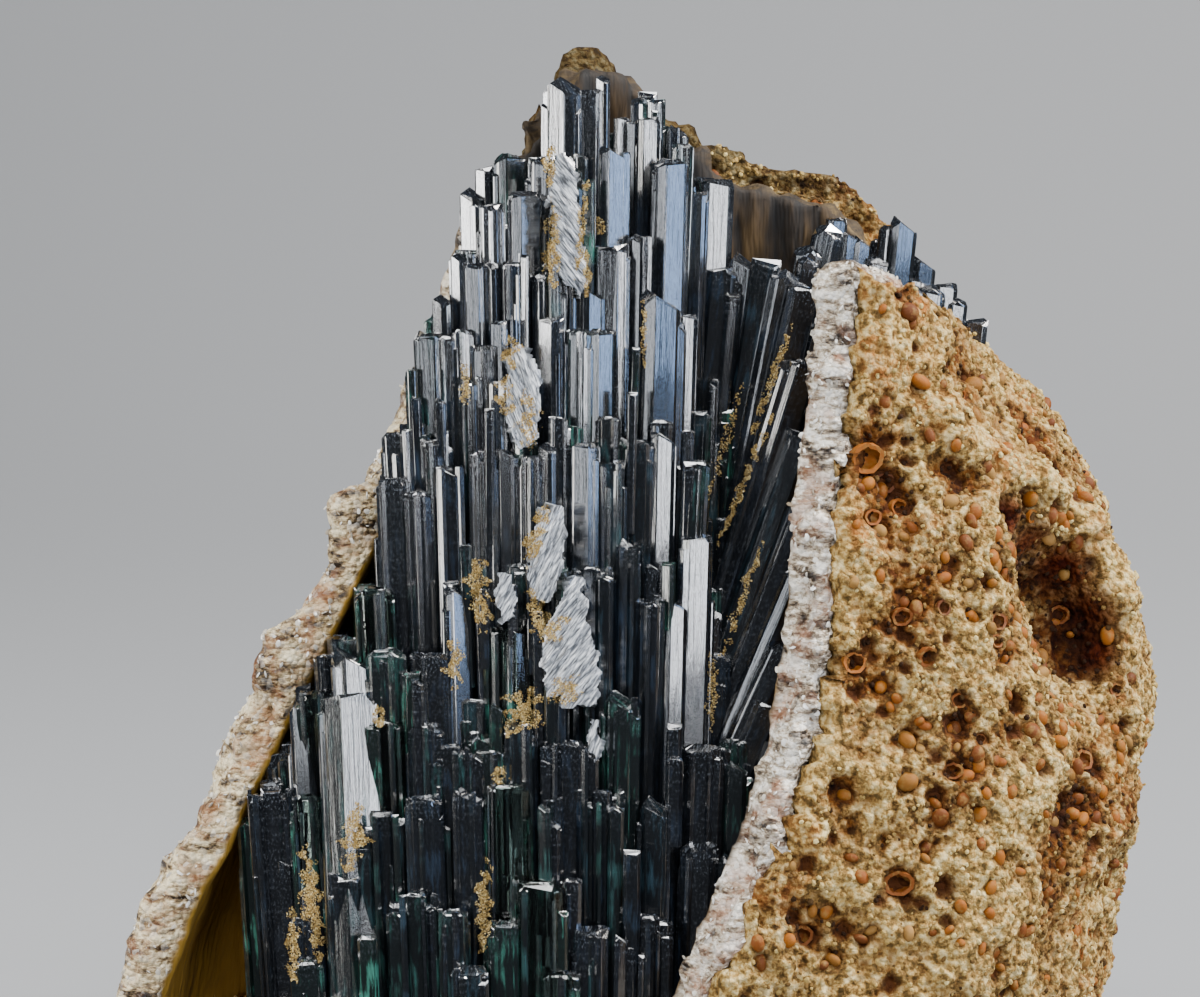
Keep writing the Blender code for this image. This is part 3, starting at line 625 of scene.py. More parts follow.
def form_data(form):
    """What a copy needs: the form's points, faces, and for each corner its place across its own face."""
    shape = np.array([v.co for v in form.data.vertices])
    faces = [list(face.vertices) for face in form.data.polygons]
    across = []
    for face in form.data.polygons:
        side = face.normal.cross(Vector((0, 0, 1)))
        side = side.normalized() if side.length > 0.3 else Vector((1, 0, 0))
        across += [side.dot(form.data.vertices[i].co) for i in face.vertices]
    return shape, faces, np.array(across)


form_shapes = [form_data(form) for form in forms]
for form in forms:
    bpy.data.objects.remove(form, do_unlink=True)


def crystals(name, prisms):
    """One mesh of prisms: tip, length, half width, half depth, turn, lean right, lean back, form, tone."""
    places, polygons, corners, tones = [], [], [], []
    wear = np.random.default_rng(29)
    start = 0
    for number, (tip, length, width, depth, turn, right, back, form, tone) in enumerate(prisms):
        shape, faces, across = form_shapes[form]
        size = shape * (width, depth, 0.5 * (width + depth))
        foot = shape[:, 2] < -FORM_LENGTH + 0.1
        size[foot, 2] = -length
        size[~foot] += wear.normal(0.0, min(width, depth), (int((~foot).sum()), 3)) * WORN
        axes = Euler((math.radians(-back), math.radians(right), 0)).to_matrix()
        axes = np.array(axes @ Matrix.Rotation(math.radians(turn), 3, "Z"))
        places.append(size @ axes.T + np.array(tip))
        polygons += [[i + start for i in face] for face in faces]
        order = np.concatenate([np.array(face) for face in faces])
        own = 3.7 * (number % 97)
        corners.append(np.stack((across * width + own, size[order, 2]), axis=1))
        tones += [tone] * len(shape)
        start += len(shape)
    mesh = bpy.data.meshes.new(name)
    mesh.from_pydata((np.concatenate(places) * MM).tolist(), [], polygons)
    mesh.uv_layers.new(name="along_mm").data.foreach_set("uv", np.concatenate(corners).ravel())
    point_values(mesh, "tone", tones)
    made = bpy.data.objects.new(name, mesh)
    bpy.context.scene.collection.objects.link(made)
    return made


# The stepped slope that the tips follow, and how far up each side reaches
SLOPE_FOOT = (-15.75, 9.0)
SLOPE_RUN = 0.30
SLOPE_CURVE = 0.015
SLOPE_MIDDLE_X = -3.45
SIDE_X = (-25.45, -20.45, -18.35, -15.15, -13.55, -12.25, -10.35, -8.65, -4.45, -1.45,
          1.65, 3.45, 4.65, 5.95, 7.55)
SIDE_Z = (11.0, 20.5, 25.5, 30.5, 36.5, 43.5, 48.0, 52.0, 57.0, 58.5, 55.5, 45.5, 33.0, 23.5, 9.0)
REAR_SHIFT = 2.8
RECESS = (2.05, 5.95)
FAN = 0.24
LEAN_BACK = 4.0
PITCH = (1.2, 0.8)  # of the crystals in a row, and of the rows
CLEAR_TONE = 0.85  # crystals that stand out are see-through from this tone up
SMALL_COUNT = 620
SMALL_PX = ((200, 740), (110, 940))  # pixels of the photograph where the small ones are tried
SMALL_HALF = (0.2, 0.42)
SMALL_LOW = (28.0, 1.5)  # below this height they are this much wider
SMALL_LENGTH = (4.0, 9.0)
SMALL_BARE_X = -17.0  # left of this there are none
COARSE = 0.9  # how much wider crystals get downwards
COARSE_BELOW = 34.0
DARK_SHARE = (0.92, 0.35)  # how many crystals mirror no lamp, low and high on the slope
DARK_BETWEEN = (47.0, 54.0)
ROW_X = (-25.5, 8.5)
LAST_ROW_Y = 11.5
GROUP_TURN = 40.0  # neighbours are turned alike, by up to this
HALF_WIDTH = (0.34, 0.72)
HALF_DEPTH = (0.36, 0.6)
TIP_SCATTER = (-2.8, 0.6)
LONGEST = (24.0, 22.0)  # of the crystals that stand out, and of those between them
BUNDLE_PX = 38  # dark crystals from this width are bundles of three
BARE_X = -20.7  # left of this the shell's inner wall is bare
LOWEST_TIP = 8.0
HOLLOW_AXIS = (2.5, 3.7)

CHISEL, SLANTED, DOMED, POINTED, FLAT = range(5)
SLIVERS = (5, 6, 7)
TOP_Y = 3.0  # where crystals above the slope stand


def slope_height(x, y):
    """How high the crystals stand at a place in plan."""
    front = SLOPE_FOOT[1] + (y - SLOPE_FOOT[0] - SLOPE_CURVE * (x - SLOPE_MIDDLE_X) ** 2) / SLOPE_RUN
    rear = min(max((y + 1.25) / 4.0, 0.0), 1.0) * (x > 0.55)
    side = float(np.interp(x - REAR_SHIFT * rear, SIDE_X, SIDE_Z))
    return min(front, side)


def in_hollow(x, y, z, clear):
    """True if nothing of the shell lies between the middle of the hollow and just past the place."""
    start = Vector((*HOLLOW_AXIS, z))
    way = Vector((x, y, z)) - start
    return shell_wall.ray_cast(start, way.normalized(), way.length + clear)[0] is None


# The view of the photograph, and where one of its pixels falls on the slope
EYE = Vector((-1.394, -184.633, 62.473))
EYE_TURN = Euler((math.radians(82.0), 0.0, 0.0))
LENS = 100.0
SENSOR = 36.0
FRAME = (1200, 997)
PX_PER_MM = 18.0  # at the crystals
SIGHT_STEPS = (164.0, 204.0, 0.1)  # distances from the camera at which the slope is looked for
TALL_PY = 240  # above this pixel row the tallest crystals stand


def sight(px, py):
    """The way that a pixel of the photograph looks."""
    focal = LENS / SENSOR * FRAME[0]
    return (EYE_TURN.to_matrix() @ Vector((px - FRAME[0] / 2, FRAME[1] / 2 - py, -focal))).normalized()


def on_slope(px, py):
    """Where a pixel of the photograph falls on the slope, or above it where the tallest crystals stand."""
    for far in np.arange(*SIGHT_STEPS):
        place = EYE + sight(px, py) * far
        if slope_height(place.x, place.y) >= place.z:
            return place
        if place.y > TOP_Y and py < TALL_PY:
            return place
    return None


# The lamps that flat faces mirror, as azimuths round the specimen (0 is the camera's side, 90 is +X). How a
# crystal is turned settles which lamp its front face (0) or its left or right slanting face (-1, 1) mirrors.
WINDOW_DISTANCE = 170.0
WINDOW_ELEVATION = 14.0
WINDOW_HIGH = 65.0
WINDOWS = {"left": -85.0, "right": 30.0, "far": 78.0, "blue": 50.0, "grey": -36.0}
DARK = None
LEFT_EDGE, RIGHT_EDGE, LEFT_WHITE, RIGHT_WHITE = ("left", -1), ("blue", 1), ("left", 0), ("right", 0)
BLUE, GREY = ("blue", 0), ("grey", 0)
LAMP_Z = 54.0  # height at which a low crystal that mirrors a lamp looks at it
DARK_TURN = -9.0  # turned like this, none of a prism's faces mirrors a lamp
FLATNESS = 0.82  # depth of a crystal as a share of its width
SLANT = 48.0  # azimuth of a slanting face of a prism as wide as it is deep


def turned(tip, width, depth, mirrors):
    """How far a crystal is turned so that a face of it mirrors a lamp to the camera."""
    if mirrors is None:
        return DARK_TURN
    lamp, face = mirrors
    aim = math.radians(WINDOWS[lamp])
    lamp_place = WINDOW_DISTANCE * Vector((math.sin(aim), -math.cos(aim)))
    to_lamp = lamp_place - tip.xy
    to_eye = EYE.xy - tip.xy
    middle = (to_lamp.normalized() + to_eye.normalized())
    slanting = math.degrees(math.atan(math.tan(math.radians(SLANT)) * depth / width))
    return math.degrees(math.atan2(middle.x, -middle.y)) - face * slanting


def leaned(tip, px, py, bared, mirrors):
    """How far a crystal leans back; the windows hang high, so low crystals that mirror one lean more."""
    if mirrors is None or mirrors[1]:
        return LEAN_BACK
    rise = math.atan((LAMP_Z - tip.z + bared / PX_PER_MM / 2) / WINDOW_DISTANCE)
    return max(LEAN_BACK, math.degrees(rise - math.asin(sight(px, py + bared / 2).z)) / 2)


# Crystals that stand out: tip, width and bared length in pixels of the photograph, which lamp they mirror
# with which face, form and tone
SEEN = (
    (302, 704, 24, 130, GREY, SLANTED, 0.3), (321, 690, 40, 140, DARK, DOMED, 0.95),
    (352, 692, 60, 140, RIGHT_WHITE, FLAT, 0.6), (328, 654, 28, 60, DARK, DOMED, 0.4),
    (353, 652, 42, 60, RIGHT_WHITE, SLANTED, 0.5),
    (385, 650, 40, 70, RIGHT_EDGE, DOMED, 0.7), (375, 588, 34, 62, DARK, DOMED, 0.95),
    (306, 795, 27, 110, LEFT_EDGE, DOMED, 1.0), (270, 787, 42, 200, DARK, POINTED, 0.1),
    (382, 812, 41, 90, DARK, DOMED, 0.55), (424, 796, 34, 100, DARK, DOMED, 0.4),
    (468, 790, 29, 120, DARK, SLANTED, 0.3), (508, 782, 42, 130, LEFT_EDGE, DOMED, 0.85),
    (601, 790, 41, 130, DARK, DOMED, 0.6), (570, 741, 48, 50, DARK, DOMED, 0.25),
    (622, 695, 34, 80, RIGHT_EDGE, SLANTED, 0.75), (387, 720, 35, 85, DARK, DOMED, 0.95),
    (425, 724, 33, 70, DARK, DOMED, 0.35), (450, 745, 38, 50, DARK, FLAT, 0.6),
    (521, 722, 28, 60, LEFT_EDGE, SLANTED, 0.5), (347, 872, 31, 90, LEFT_EDGE, CHISEL, 0.5),
    (414, 892, 43, 110, DARK, DOMED, 0.7), (454, 909, 26, 60, LEFT_EDGE, DOMED, 0.6),
    (506, 921, 25, 80, RIGHT_EDGE, DOMED, 0.8), (540, 880, 50, 120, DARK, DOMED, 1.0),
    (469, 966, 34, 40, DARK, DOMED, 0.5), (592, 930, 32, 80, DARK, FLAT, 0.2),
    (648, 915, 43, 90, DARK, CHISEL, 0.15), (699, 848, 35, 120, DARK, FLAT, 0.1),
    (656, 802, 31, 110, RIGHT_EDGE, SLANTED, 0.5), (307, 960, 28, 50, LEFT_EDGE, DOMED, 0.8),
    (560, 972, 34, 40, DARK, DOMED, 0.9), (393, 479, 34, 150, DARK, DOMED, 0.1),
    (418, 492, 26, 120, DARK, DOMED, 0.05), (449, 466, 24, 110, LEFT_EDGE, SLANTED, 0.3),
    (484, 452, 26, 120, DARK, DOMED, 0.15), (508, 448, 22, 110, RIGHT_EDGE, SLANTED, 0.3),
    (533, 456, 22, 80, DARK, CHISEL, 0.15), (547, 444, 20, 66, LEFT_WHITE, SLANTED, 0.2),
    (584, 443, 28, 90, GREY, DOMED, 0.3), (612, 462, 26, 90, DARK, FLAT, 0.5),
    (457, 588, 26, 60, BLUE, SLANTED, 0.2), (496, 630, 24, 56, DARK, FLAT, 0.95),
    (519, 626, 26, 60, BLUE, CHISEL, 0.9), (590, 566, 40, 110, DARK, DOMED, 0.5),
    (628, 542, 22, 120, RIGHT_EDGE, SLANTED, 0.45), (650, 600, 26, 120, DARK, FLAT, 0.4),
    (663, 432, 24, 110, RIGHT_WHITE, SLANTED, 0.2), (697, 537, 32, 166, RIGHT_WHITE, FLAT, 0.2),
    (676, 600, 22, 110, RIGHT_WHITE, SLANTED, 0.3), (703, 749, 35, 90, DARK, FLAT, 0.1),
    (640, 440, 22, 100, DARK, DOMED, 0.5), (429, 334, 24, 50, GREY, DOMED, 0.6),
    (447, 337, 22, 50, DARK, DOMED, 0.4), (441, 296, 20, 40, LEFT_WHITE, SLANTED, 0.3),
    (459, 254, 18, 30, LEFT_WHITE, SLANTED, 0.3), (471, 190, 26, 64, LEFT_WHITE, SLANTED, 0.3),
    (484, 168, 20, 40, LEFT_WHITE, FLAT, 0.2), (491, 205, 24, 70, DARK, FLAT, 0.0),
    (511, 155, 34, 50, BLUE, DOMED, 0.7), (526, 194, 34, 44, BLUE, FLAT, 0.3),
    (474, 264, 22, 60, GREY, CHISEL, 0.3), (491, 262, 16, 46, LEFT_WHITE, SLANTED, 0.2),
    (513, 262, 18, 60, LEFT_EDGE, DOMED, 0.4), (539, 274, 16, 56, LEFT_WHITE, POINTED, 0.3),
    (558, 286, 18, 36, LEFT_WHITE, SLANTED, 0.3), (551, 318, 28, 88, LEFT_WHITE, FLAT, 0.2),
    (580, 330, 26, 70, RIGHT_EDGE, DOMED, 0.6), (602, 330, 26, 80, BLUE, DOMED, 0.5),
    (611, 246, 34, 96, GREY, FLAT, 0.0), (640, 236, 22, 90, RIGHT_EDGE, SLANTED, 0.1),
    (661, 292, 40, 116, BLUE, SLANTED, 0.3), (687, 316, 20, 96, RIGHT_WHITE, FLAT, 0.2),
    (592, 290, 22, 60, BLUE, SLANTED, 0.5), (564, 80, 38, 66, LEFT_WHITE, SLANTED, 0.2),
    (590, 90, 26, 60, DARK, FLAT, 0.1), (603, 76, 16, 40, LEFT_WHITE, SLANTED, 0.1),
    (613, 147, 28, 66, BLUE, SLANTED, 0.3), (621, 118, 14, 60, RIGHT_WHITE, FLAT, 0.2),
    (632, 122, 16, 60, GREY, FLAT, 0.2), (649, 119, 22, 120, RIGHT_WHITE, FLAT, 0.2),
    (672, 160, 36, 150, BLUE, DOMED, 0.2), (699, 192, 18, 110, GREY, FLAT, 0.3),
    (717, 181, 34, 150, RIGHT_WHITE, FLAT, 0.3), (719, 254, 14, 80, BLUE, SLANTED, 0.3),
    (462, 330, 20, 44, DARK, DOMED, 0.4), (482, 346, 22, 54, RIGHT_EDGE, CHISEL, 0.4),
    (470, 376, 20, 46, RIGHT_EDGE, SLANTED, 0.5), (498, 322, 18, 50, GREY, FLAT, 0.3),
)

dice = random.Random(5)
cluster = []
clear = []
slivers = []
stand_outs = []


def add_slivers(crystal, count):
    """Thin prisms grown on the front of a crystal, with their tips a little lower."""
    tip, length, width, depth, turn, right, back, _, tone = crystal
    for _ in range(count):
        side = dice.uniform(-1.5, 1.5)
        thin = dice.uniform(0.09, 0.22)
        lower = dice.uniform(-0.15, 1.0) ** 3 * 5.0
        way = Vector((0.97 * width * math.sin(side), -0.85 * depth * math.cos(side), 0))
        way = Euler((0, 0, math.radians(turn))).to_matrix() @ way
        spot = Vector(tip) + way - Vector((0, 0, lower))
        if length - lower > 1.5:
            slivers.append((spot, length - lower, thin, thin, turn + dice.uniform(-6, 6), right, back,
                            dice.choice(SLIVERS), tone * 0.5 + 0.5 * dice.random()))


for px, py, wide, bared, mirrors, form, tone in SEEN:
    tip = on_slope(px, py)
    width = 0.5 * wide / PX_PER_MM
    depth = FLATNESS * width
    turn = turned(tip, width, depth, mirrors)
    right = FAN * (tip.x - SLOPE_MIDDLE_X)
    back = leaned(tip, px, py, bared, mirrors)
    length = max(min(tip.z - FOOT, LONGEST[0]), 3.0)
    crystal = (tip, length, width, depth, turn, right, back, form, tone)
    if tone >= CLEAR_TONE:
        clear.append(crystal)
    elif wide >= BUNDLE_PX and mirrors is None:
        for place, lower in ((-0.6, dice.uniform(0.2, 0.8)), (0.05, 0.0), (0.65, dice.uniform(0.2, 0.8))):
            part = tip + Vector((place * width, 0.3 * abs(place) * width, -lower))
            cluster.append((part, length - lower, 0.5 * width, 0.41 * width, turn + dice.uniform(-2, 2),
                            right, back, dice.choice((DOMED, CHISEL, DOMED)), tone * dice.uniform(0.6, 1.0)))
    else:
        cluster.append(crystal)
    stand_outs.append((tip, width, bared / PX_PER_MM))
    if mirrors is None or mirrors[1]:
        add_slivers(crystal, 5)
    for _ in range(round(width / 0.4)):
        thin = dice.uniform(0.28, 0.5) * min(width, 1.1)
        lower = dice.uniform(0.05, 0.4) * bared / PX_PER_MM
        aside = dice.choice((-1, 1)) * (width - 0.55 * thin)
        aside = Vector((aside, dice.uniform(-0.55, 0.1) * depth, 0))
        way = Euler((0, 0, math.radians(turn))).to_matrix() @ aside
        cluster.append((tip + way - Vector((0, 0, lower)), length - lower, thin, 0.8 * thin,
                        turn + dice.uniform(-3, 3), right, back, dice.randrange(5), tone))


def hides(x, y, z, half):
    """True if a crystal there would stand in front of one that stands out, or inside it."""
    for tip, width, bared in stand_outs:
        if abs(x - tip.x) < width + 0.6 * half and -4.5 < y - tip.y < 0.7 * width and z > tip.z - bared:
            return True
    return False


# Small crystals on the front of the slope, at all heights
for _ in range(SMALL_COUNT):
    place = on_slope(dice.uniform(*SMALL_PX[0]), dice.uniform(*SMALL_PX[1]))
    half = dice.uniform(*SMALL_HALF) * (1.0 if place is None or place.z > SMALL_LOW[0] else SMALL_LOW[1])
    if place is None or slope_height(place.x, place.y) < place.z - 0.5 or hides(*place, half):
        continue
    if not in_hollow(*place, 0.6) or place.x < SMALL_BARE_X:
        continue
    tip = place + Vector((0.0, -dice.uniform(0.2, 1.0), 0.0))
    turn = DARK_TURN + dice.choice((0.0, 0.0, 0.0, dice.uniform(-30.0, 30.0))) + dice.uniform(-4.0, 4.0)
    right = FAN * (tip.x - SLOPE_MIDDLE_X) + dice.uniform(-1.2, 1.2)
    length = min(tip.z - FOOT, dice.uniform(*SMALL_LENGTH))
    if length > 2.0:
        cluster.append((tip, length, half, half * dice.uniform(0.7, 1.0), turn, right, LEAN_BACK,
                        dice.choice((DOMED, CHISEL, SLANTED)), dice.random()))

# The crystals between them, in rows across the hollow
row = 0
y = SLOPE_FOOT[0] - 0.6
while y < LAST_ROW_Y:
    x = ROW_X[0] + (row % 2) * PITCH[0] / 2
    while x < ROW_X[1]:
        px, py = x + dice.uniform(-0.35, 0.35), y + dice.uniform(-0.3, 0.3)
        tip = slope_height(px, py) + dice.uniform(*TIP_SCATTER)
        coarse = 1.0 + COARSE * max(0.0, 1.0 - tip / COARSE_BELOW)
        width, depth = coarse * dice.uniform(*HALF_WIDTH), coarse * dice.uniform(*HALF_DEPTH)
        group = noise.noise(Vector((px / 5.0, py / 3.0, 1.7)))
        turn = GROUP_TURN * group + dice.uniform(-10.0, 10.0)
        if dice.random() < np.interp(tip, DARK_BETWEEN, DARK_SHARE):
            turn = DARK_TURN + dice.uniform(-2.5, 2.5)
            depth = FLATNESS * width
        right = FAN * (px - SLOPE_MIDDLE_X) + dice.uniform(-1.2, 1.2)
        back = LEAN_BACK + dice.uniform(-1.5, 1.5)
        form, tone = dice.choice((CHISEL, SLANTED, DOMED, DOMED, POINTED, FLAT)), dice.random()
        x += PITCH[0]
        recess = px > RECESS[0] and py > RECESS[1]
        if recess or px < BARE_X or tip < LOWEST_TIP or hides(px, py, tip, width):
            continue
        if not in_hollow(px, py, tip - 1.0, 0.5):
            continue
        length = min(tip - FOOT, LONGEST[1])
        cluster.append(((px, py, tip), length, width, depth, turn, right, back, form, tone))
        add_slivers(cluster[-1], 2)
        for _ in range(dice.choice((0, 0, 1, 1, 2))):
            side = dice.uniform(0, math.tau)
            thin = dice.uniform(0.26, 0.45)
            lower = tip - dice.uniform(0.3, 3.0)
            spot = (px + 0.8 * width * math.cos(side), py - 0.9 * depth * abs(math.sin(side)), lower)
            if not hides(*spot, thin):
                cluster.append((spot, max(length - (tip - lower), 2.0), thin, thin * 0.8,
                                turn + dice.uniform(-6, 6), right, back, dice.randrange(5),
                                tone * 0.6 + 0.4 * dice.random()))
    row += 1
    y += PITCH[1]
vivianite_cluster = crystals("vivianite_prisms", cluster)
vivianite_slivers = crystals("vivianite_slivers", slivers)


def along_prism(tree, stretch, roughness, **more):
    """Noise drawn out along a prism: how often it repeats in a millimetre across and along."""
    uv = add_node(tree, "UVMap", uv_map="along_mm")
    drawn = add_node(tree, "Mapping", {"Vector": uv, "Scale": (*stretch, 1.0)})
    return add_node(tree, "TexNoise", {"Vector": drawn, "Scale": 1.0, "Roughness": roughness, **more})


# Vivianite, fresh prism faces: glassy and nearly black, with blue-green strips of painted light that stand in
# for light getting into the crystal, with fine lines along the prism and, on some, a frosting of tiny etch
# pits. A clear coat gives the mirror faces.
vivianite, tree, shader = new_material("vivianite_prism_faces")
tone = add_node(tree, "Attribute", attribute_name="tone").outputs["Fac"]
line = along_prism(tree, (5.0, 0.3), 0.6, Detail=4.0)
strip = along_prism(tree, (2.2, 0.4), 0.6, Detail=4.0)
etch = along_prism(tree, (9.0, 4.5), 0.75, Detail=4.0)
body = add_node(tree, "ValToRGB", {"Fac": tone}, ((0.0, "#0F1115"), (1.0, "#101A18"), (0.45, "#0E1115"),
                                                  (0.75, "#0F1516")))
# Painted light: blue-green strips in the base colour stand in for light shining through the crystal
within = add_node(tree, "ValToRGB", {"Fac": tone}, ((0.0, "#202227"), (1.0, "#478C7B"), (0.45, "#283749"),
                                                    (0.75, "#305F55")))
deep = add_node(tree, "MapRange", {"Value": strip, "From Min": 0.52, "From Max": 0.72})
lit = add_node(tree, "Mix", {0: deep, 6: body, 7: within}, data_type="RGBA")
frosty = add_node(tree, "MapRange", {"Value": tone, "From Min": 0.5, "From Max": 0.0, "To Min": 0.02,
                                     "To Max": 0.26})
uv = add_node(tree, "UVMap", uv_map="along_mm")
below = add_node(tree, "SeparateXYZ", {"Vector": uv})
near_tip = add_node(tree, "MapRange", {"Value": below.outputs["Y"], "From Min": -1.8, "From Max": 0.0,
                                       "To Max": 0.3})
rimed = add_node(tree, "Math", {0: frosty, 1: near_tip}, operation="ADD")
pits = add_node(tree, "MapRange", {"Value": etch, "From Min": 0.53, "From Max": 0.64})
frost = add_node(tree, "Math", {0: rimed, 1: pits}, operation="MULTIPLY")
skin = add_node(tree, "Mix", {0: frost, 6: lit, 7: "#6F7782"}, data_type="RGBA")
relief_lines = add_node(tree, "Bump", {"Height": line, "Strength": 0.35, "Distance": 0.035 * MM})
etched = add_node(tree, "Bump", {"Height": etch, "Strength": 0.3, "Distance": 0.02 * MM,
                                 "Normal": relief_lines})
gloss = add_node(tree, "MapRange", {"Value": frost, "To Min": 0.16, "To Max": 0.6})
set_inputs(tree, shader, {"Base Color": skin, "Normal": etched, "Coat Normal": relief_lines,
                          "Roughness": gloss, "IOR": 1.85, "Coat Weight": 1.0, "Coat Roughness": 0.04,
                          "Coat IOR": 1.62})
vivianite_cluster.data.materials.append(vivianite)
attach(vivianite_cluster, "root")
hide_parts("vivianite_cluster")
vivianite_slivers.data.materials.append(vivianite)
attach(vivianite_slivers, "root")

# Clear vivianite: the light goes into these crystals and comes back dark blue-green
glass, tree, shader = new_material("vivianite_clear_crystal")
line = along_prism(tree, (5.0, 0.3), 0.6, Detail=4.0)
bump = add_node(tree, "Bump", {"Height": line, "Strength": 0.35, "Distance": 0.035 * MM})
set_inputs(tree, shader, {"Normal": bump, "Base Color": "#CFE3DE", "Roughness": 0.06, "IOR": 1.62,
                          "Transmission Weight": 1.0})
tint = add_node(tree, "VolumeAbsorption", {"Color": "#3E8E80", "Density": 420.0})
tree.links.new(tint.outputs["Volume"], tree.nodes["Material Output"].inputs["Volume"])
clear_crystals = crystals("vivianite_clear_prisms", clear)
clear_crystals.data.materials.append(glass)
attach(clear_crystals, "root")

# Leaning spray
# A bundle of longer prisms that leans to the right in the recess behind the right-hand rim.
SPRAY = (
    (5.45, 2.15, 49.2, 5, 3, 38), (6.75, 2.55, 49.9, 7, 3, 38), (7.95, 2.15, 49.7, 9, 4, 38),
    (9.05, 1.35, 49.2, 11, 5, 37), (9.95, 0.15, 48.4, 13, 6, 34), (10.45, 3.15, 50.4, 10, 2, 38),
    (11.55, 3.55, 51.6, 11, 2, 38), (9.95, -2.05, 44.4, 17, 6, 26), (9.75, -3.45, 40.6, 19, 7, 22),
    (9.95, -4.45, 36.8, 21, 7, 19), (9.55, -5.65, 33.2, 23, 8, 16), (8.75, -6.85, 29.6, 25, 8, 14),
    (7.85, -7.85, 26.4, 24, 8, 12), (11.35, -1.65, 37, 20, 5, 24),
)
SPRAY_HALF = (0.85, 0.8)  # half width and half depth of the longer ones
dice = random.Random(11)
spray = []
for x, y, z, right, back, length in SPRAY:
    turn = dice.uniform(-20.0, 20.0)
    spray.append(((x, y, z), length, *SPRAY_HALF, turn, right, back, dice.randrange(5), dice.random() * 0.5))
    for _ in range(3):
        spot = (x + dice.uniform(-1.0, 1.0), y + dice.uniform(-0.9, 0.9), z - dice.uniform(0.4, 3.5))
        thin = dice.uniform(0.35, 0.6)
        spray.append((spot, length - 4.0, thin, 0.8 * thin, turn + dice.uniform(-12, 12), right, back,
                      dice.randrange(5), dice.random() * 0.5))
leaning = crystals("vivianite_spray", spray)
leaning.data.materials.append(vivianite)
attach(leaning, "root")

# Back row
# A separate row of grey-looking prisms on the back of the hollow, behind the right-hand rim.
BACK_ROW = (
    (7.95, 10.95, 48.6), (10.15, 10.35, 49.2), (11.95, 9.95, 50.7), (13.05, 9.15, 52.3), (14.25, 10.55, 51.2),
    (15.45, 9.15, 51.6), (16.75, 10.15, 50.0), (17.55, 8.55, 48.8), (18.65, 9.55, 49.4), (19.75, 9.15, 46.8),
)
dice = random.Random(23)
rear = []
for x, y, z in BACK_ROW:
    for shift in (-0.7, 0.1, 0.8):
        spot = (x + shift, y + dice.uniform(-0.6, 0.6), z - dice.uniform(0.0, 2.4))
        wide = dice.uniform(0.5, 0.9)
        faces = dice.choice((RIGHT_WHITE, RIGHT_WHITE, DARK, BLUE))
        turn = turned(Vector(spot), wide, 0.8 * wide, faces)
        rear.append((spot, spot[2] - FOOT, wide, 0.8 * wide, turn, 5.5, 3.0,
                     dice.randrange(5), dice.random() * 0.5))
back_row = crystals("vivianite_rear_row", rear)
back_row.data.materials.append(vivianite)
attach(back_row, "root")
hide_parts("vivianite_back_row")

# Cleavage plates
# Where a broad crystal has split, its pearly inside shows: a silvery plate with feathery lines. Each is cut
# from a fine grid to its outline, given in pixels of the photograph with the slant of the lines.
PLATES = (
    ("plate_top", ((557, 157), (566, 155), (575, 172), (580, 205), (583, 250), (585, 285), (580, 297),
                   (570, 284), (550, 268), (555, 238), (553, 210), (548, 188)), -38.0),
    ("plate_upper", ((512, 348), (520, 346), (540, 372), (541, 402), (536, 440), (518, 450), (508, 420),
                     (505, 385)), -20.0),
    ("plate_middle", ((541, 512), (563, 507), (564, 562), (549, 602), (531, 597), (529, 562),
                      (535, 530)), 25.0),
    ("plate_lower", ((577, 570), (585, 600), (591, 640), (601, 672), (597, 700), (571, 706), (549, 692),
                     (542, 662), (545, 630), (557, 611)), 38.0),
    ("plate_small", ((497, 575), (506, 571), (516, 590), (514, 615), (501, 624), (494, 600)), 30.0),
    ("plate_left", ((590, 722), (598, 720), (601, 740), (596, 762), (588, 752)), 20.0),
)
PLATE_CELL = 0.1
PLATE_THICK = 0.9
PLATE_GAP = 0.3  # how far a plate's middle stands off the crystals
in_view = (vivianite_cluster, vivianite_slivers, clear_crystals, leaning)
surfaces = [surface_of(thing.data) for thing in in_view]


def first_hit(px, py):
    """Where a pixel of the photograph falls on the crystals, or None."""
    hits = [tree.ray_cast(EYE, sight(px, py)) for tree in surfaces]
    return min((hit for hit in hits if hit[0] is not None), key=lambda hit: hit[3], default=(None,))[0]


# Pearly cleavage face: silver-white, with fine feathery ridges across it
pearl, tree, shader = new_material("vivianite_cleavage_face")
feather = along_prism(tree, (8.0, 1.2), 0.7, Detail=5.0, Distortion=0.5)
silver = add_node(tree, "ValToRGB", {"Fac": feather}, ((0.36, "#1E2024"), (0.64, "#F6F8FA"),
                                                       (0.44, "#50545A"), (0.53, "#A2A7AD")))
bump = add_node(tree, "Bump", {"Height": feather, "Strength": 0.8, "Distance": 0.12 * MM})
set_inputs(tree, shader, {"Base Color": silver, "Normal": bump, "Roughness": 0.28, "IOR": 1.62,
                          "Coat Weight": 0.6, "Coat Roughness": 0.08})


def in_outline(x, y, outline):
    """True if a point is inside a closed outline."""
    inside = False
    for (x1, y1), (x2, y2) in zip(outline, outline[1:] + outline[:1]):
        if (y1 > y) != (y2 > y) and x < (x2 - x1) * (y - y1) / (y2 - y1) + x1:
            inside = not inside
    return inside


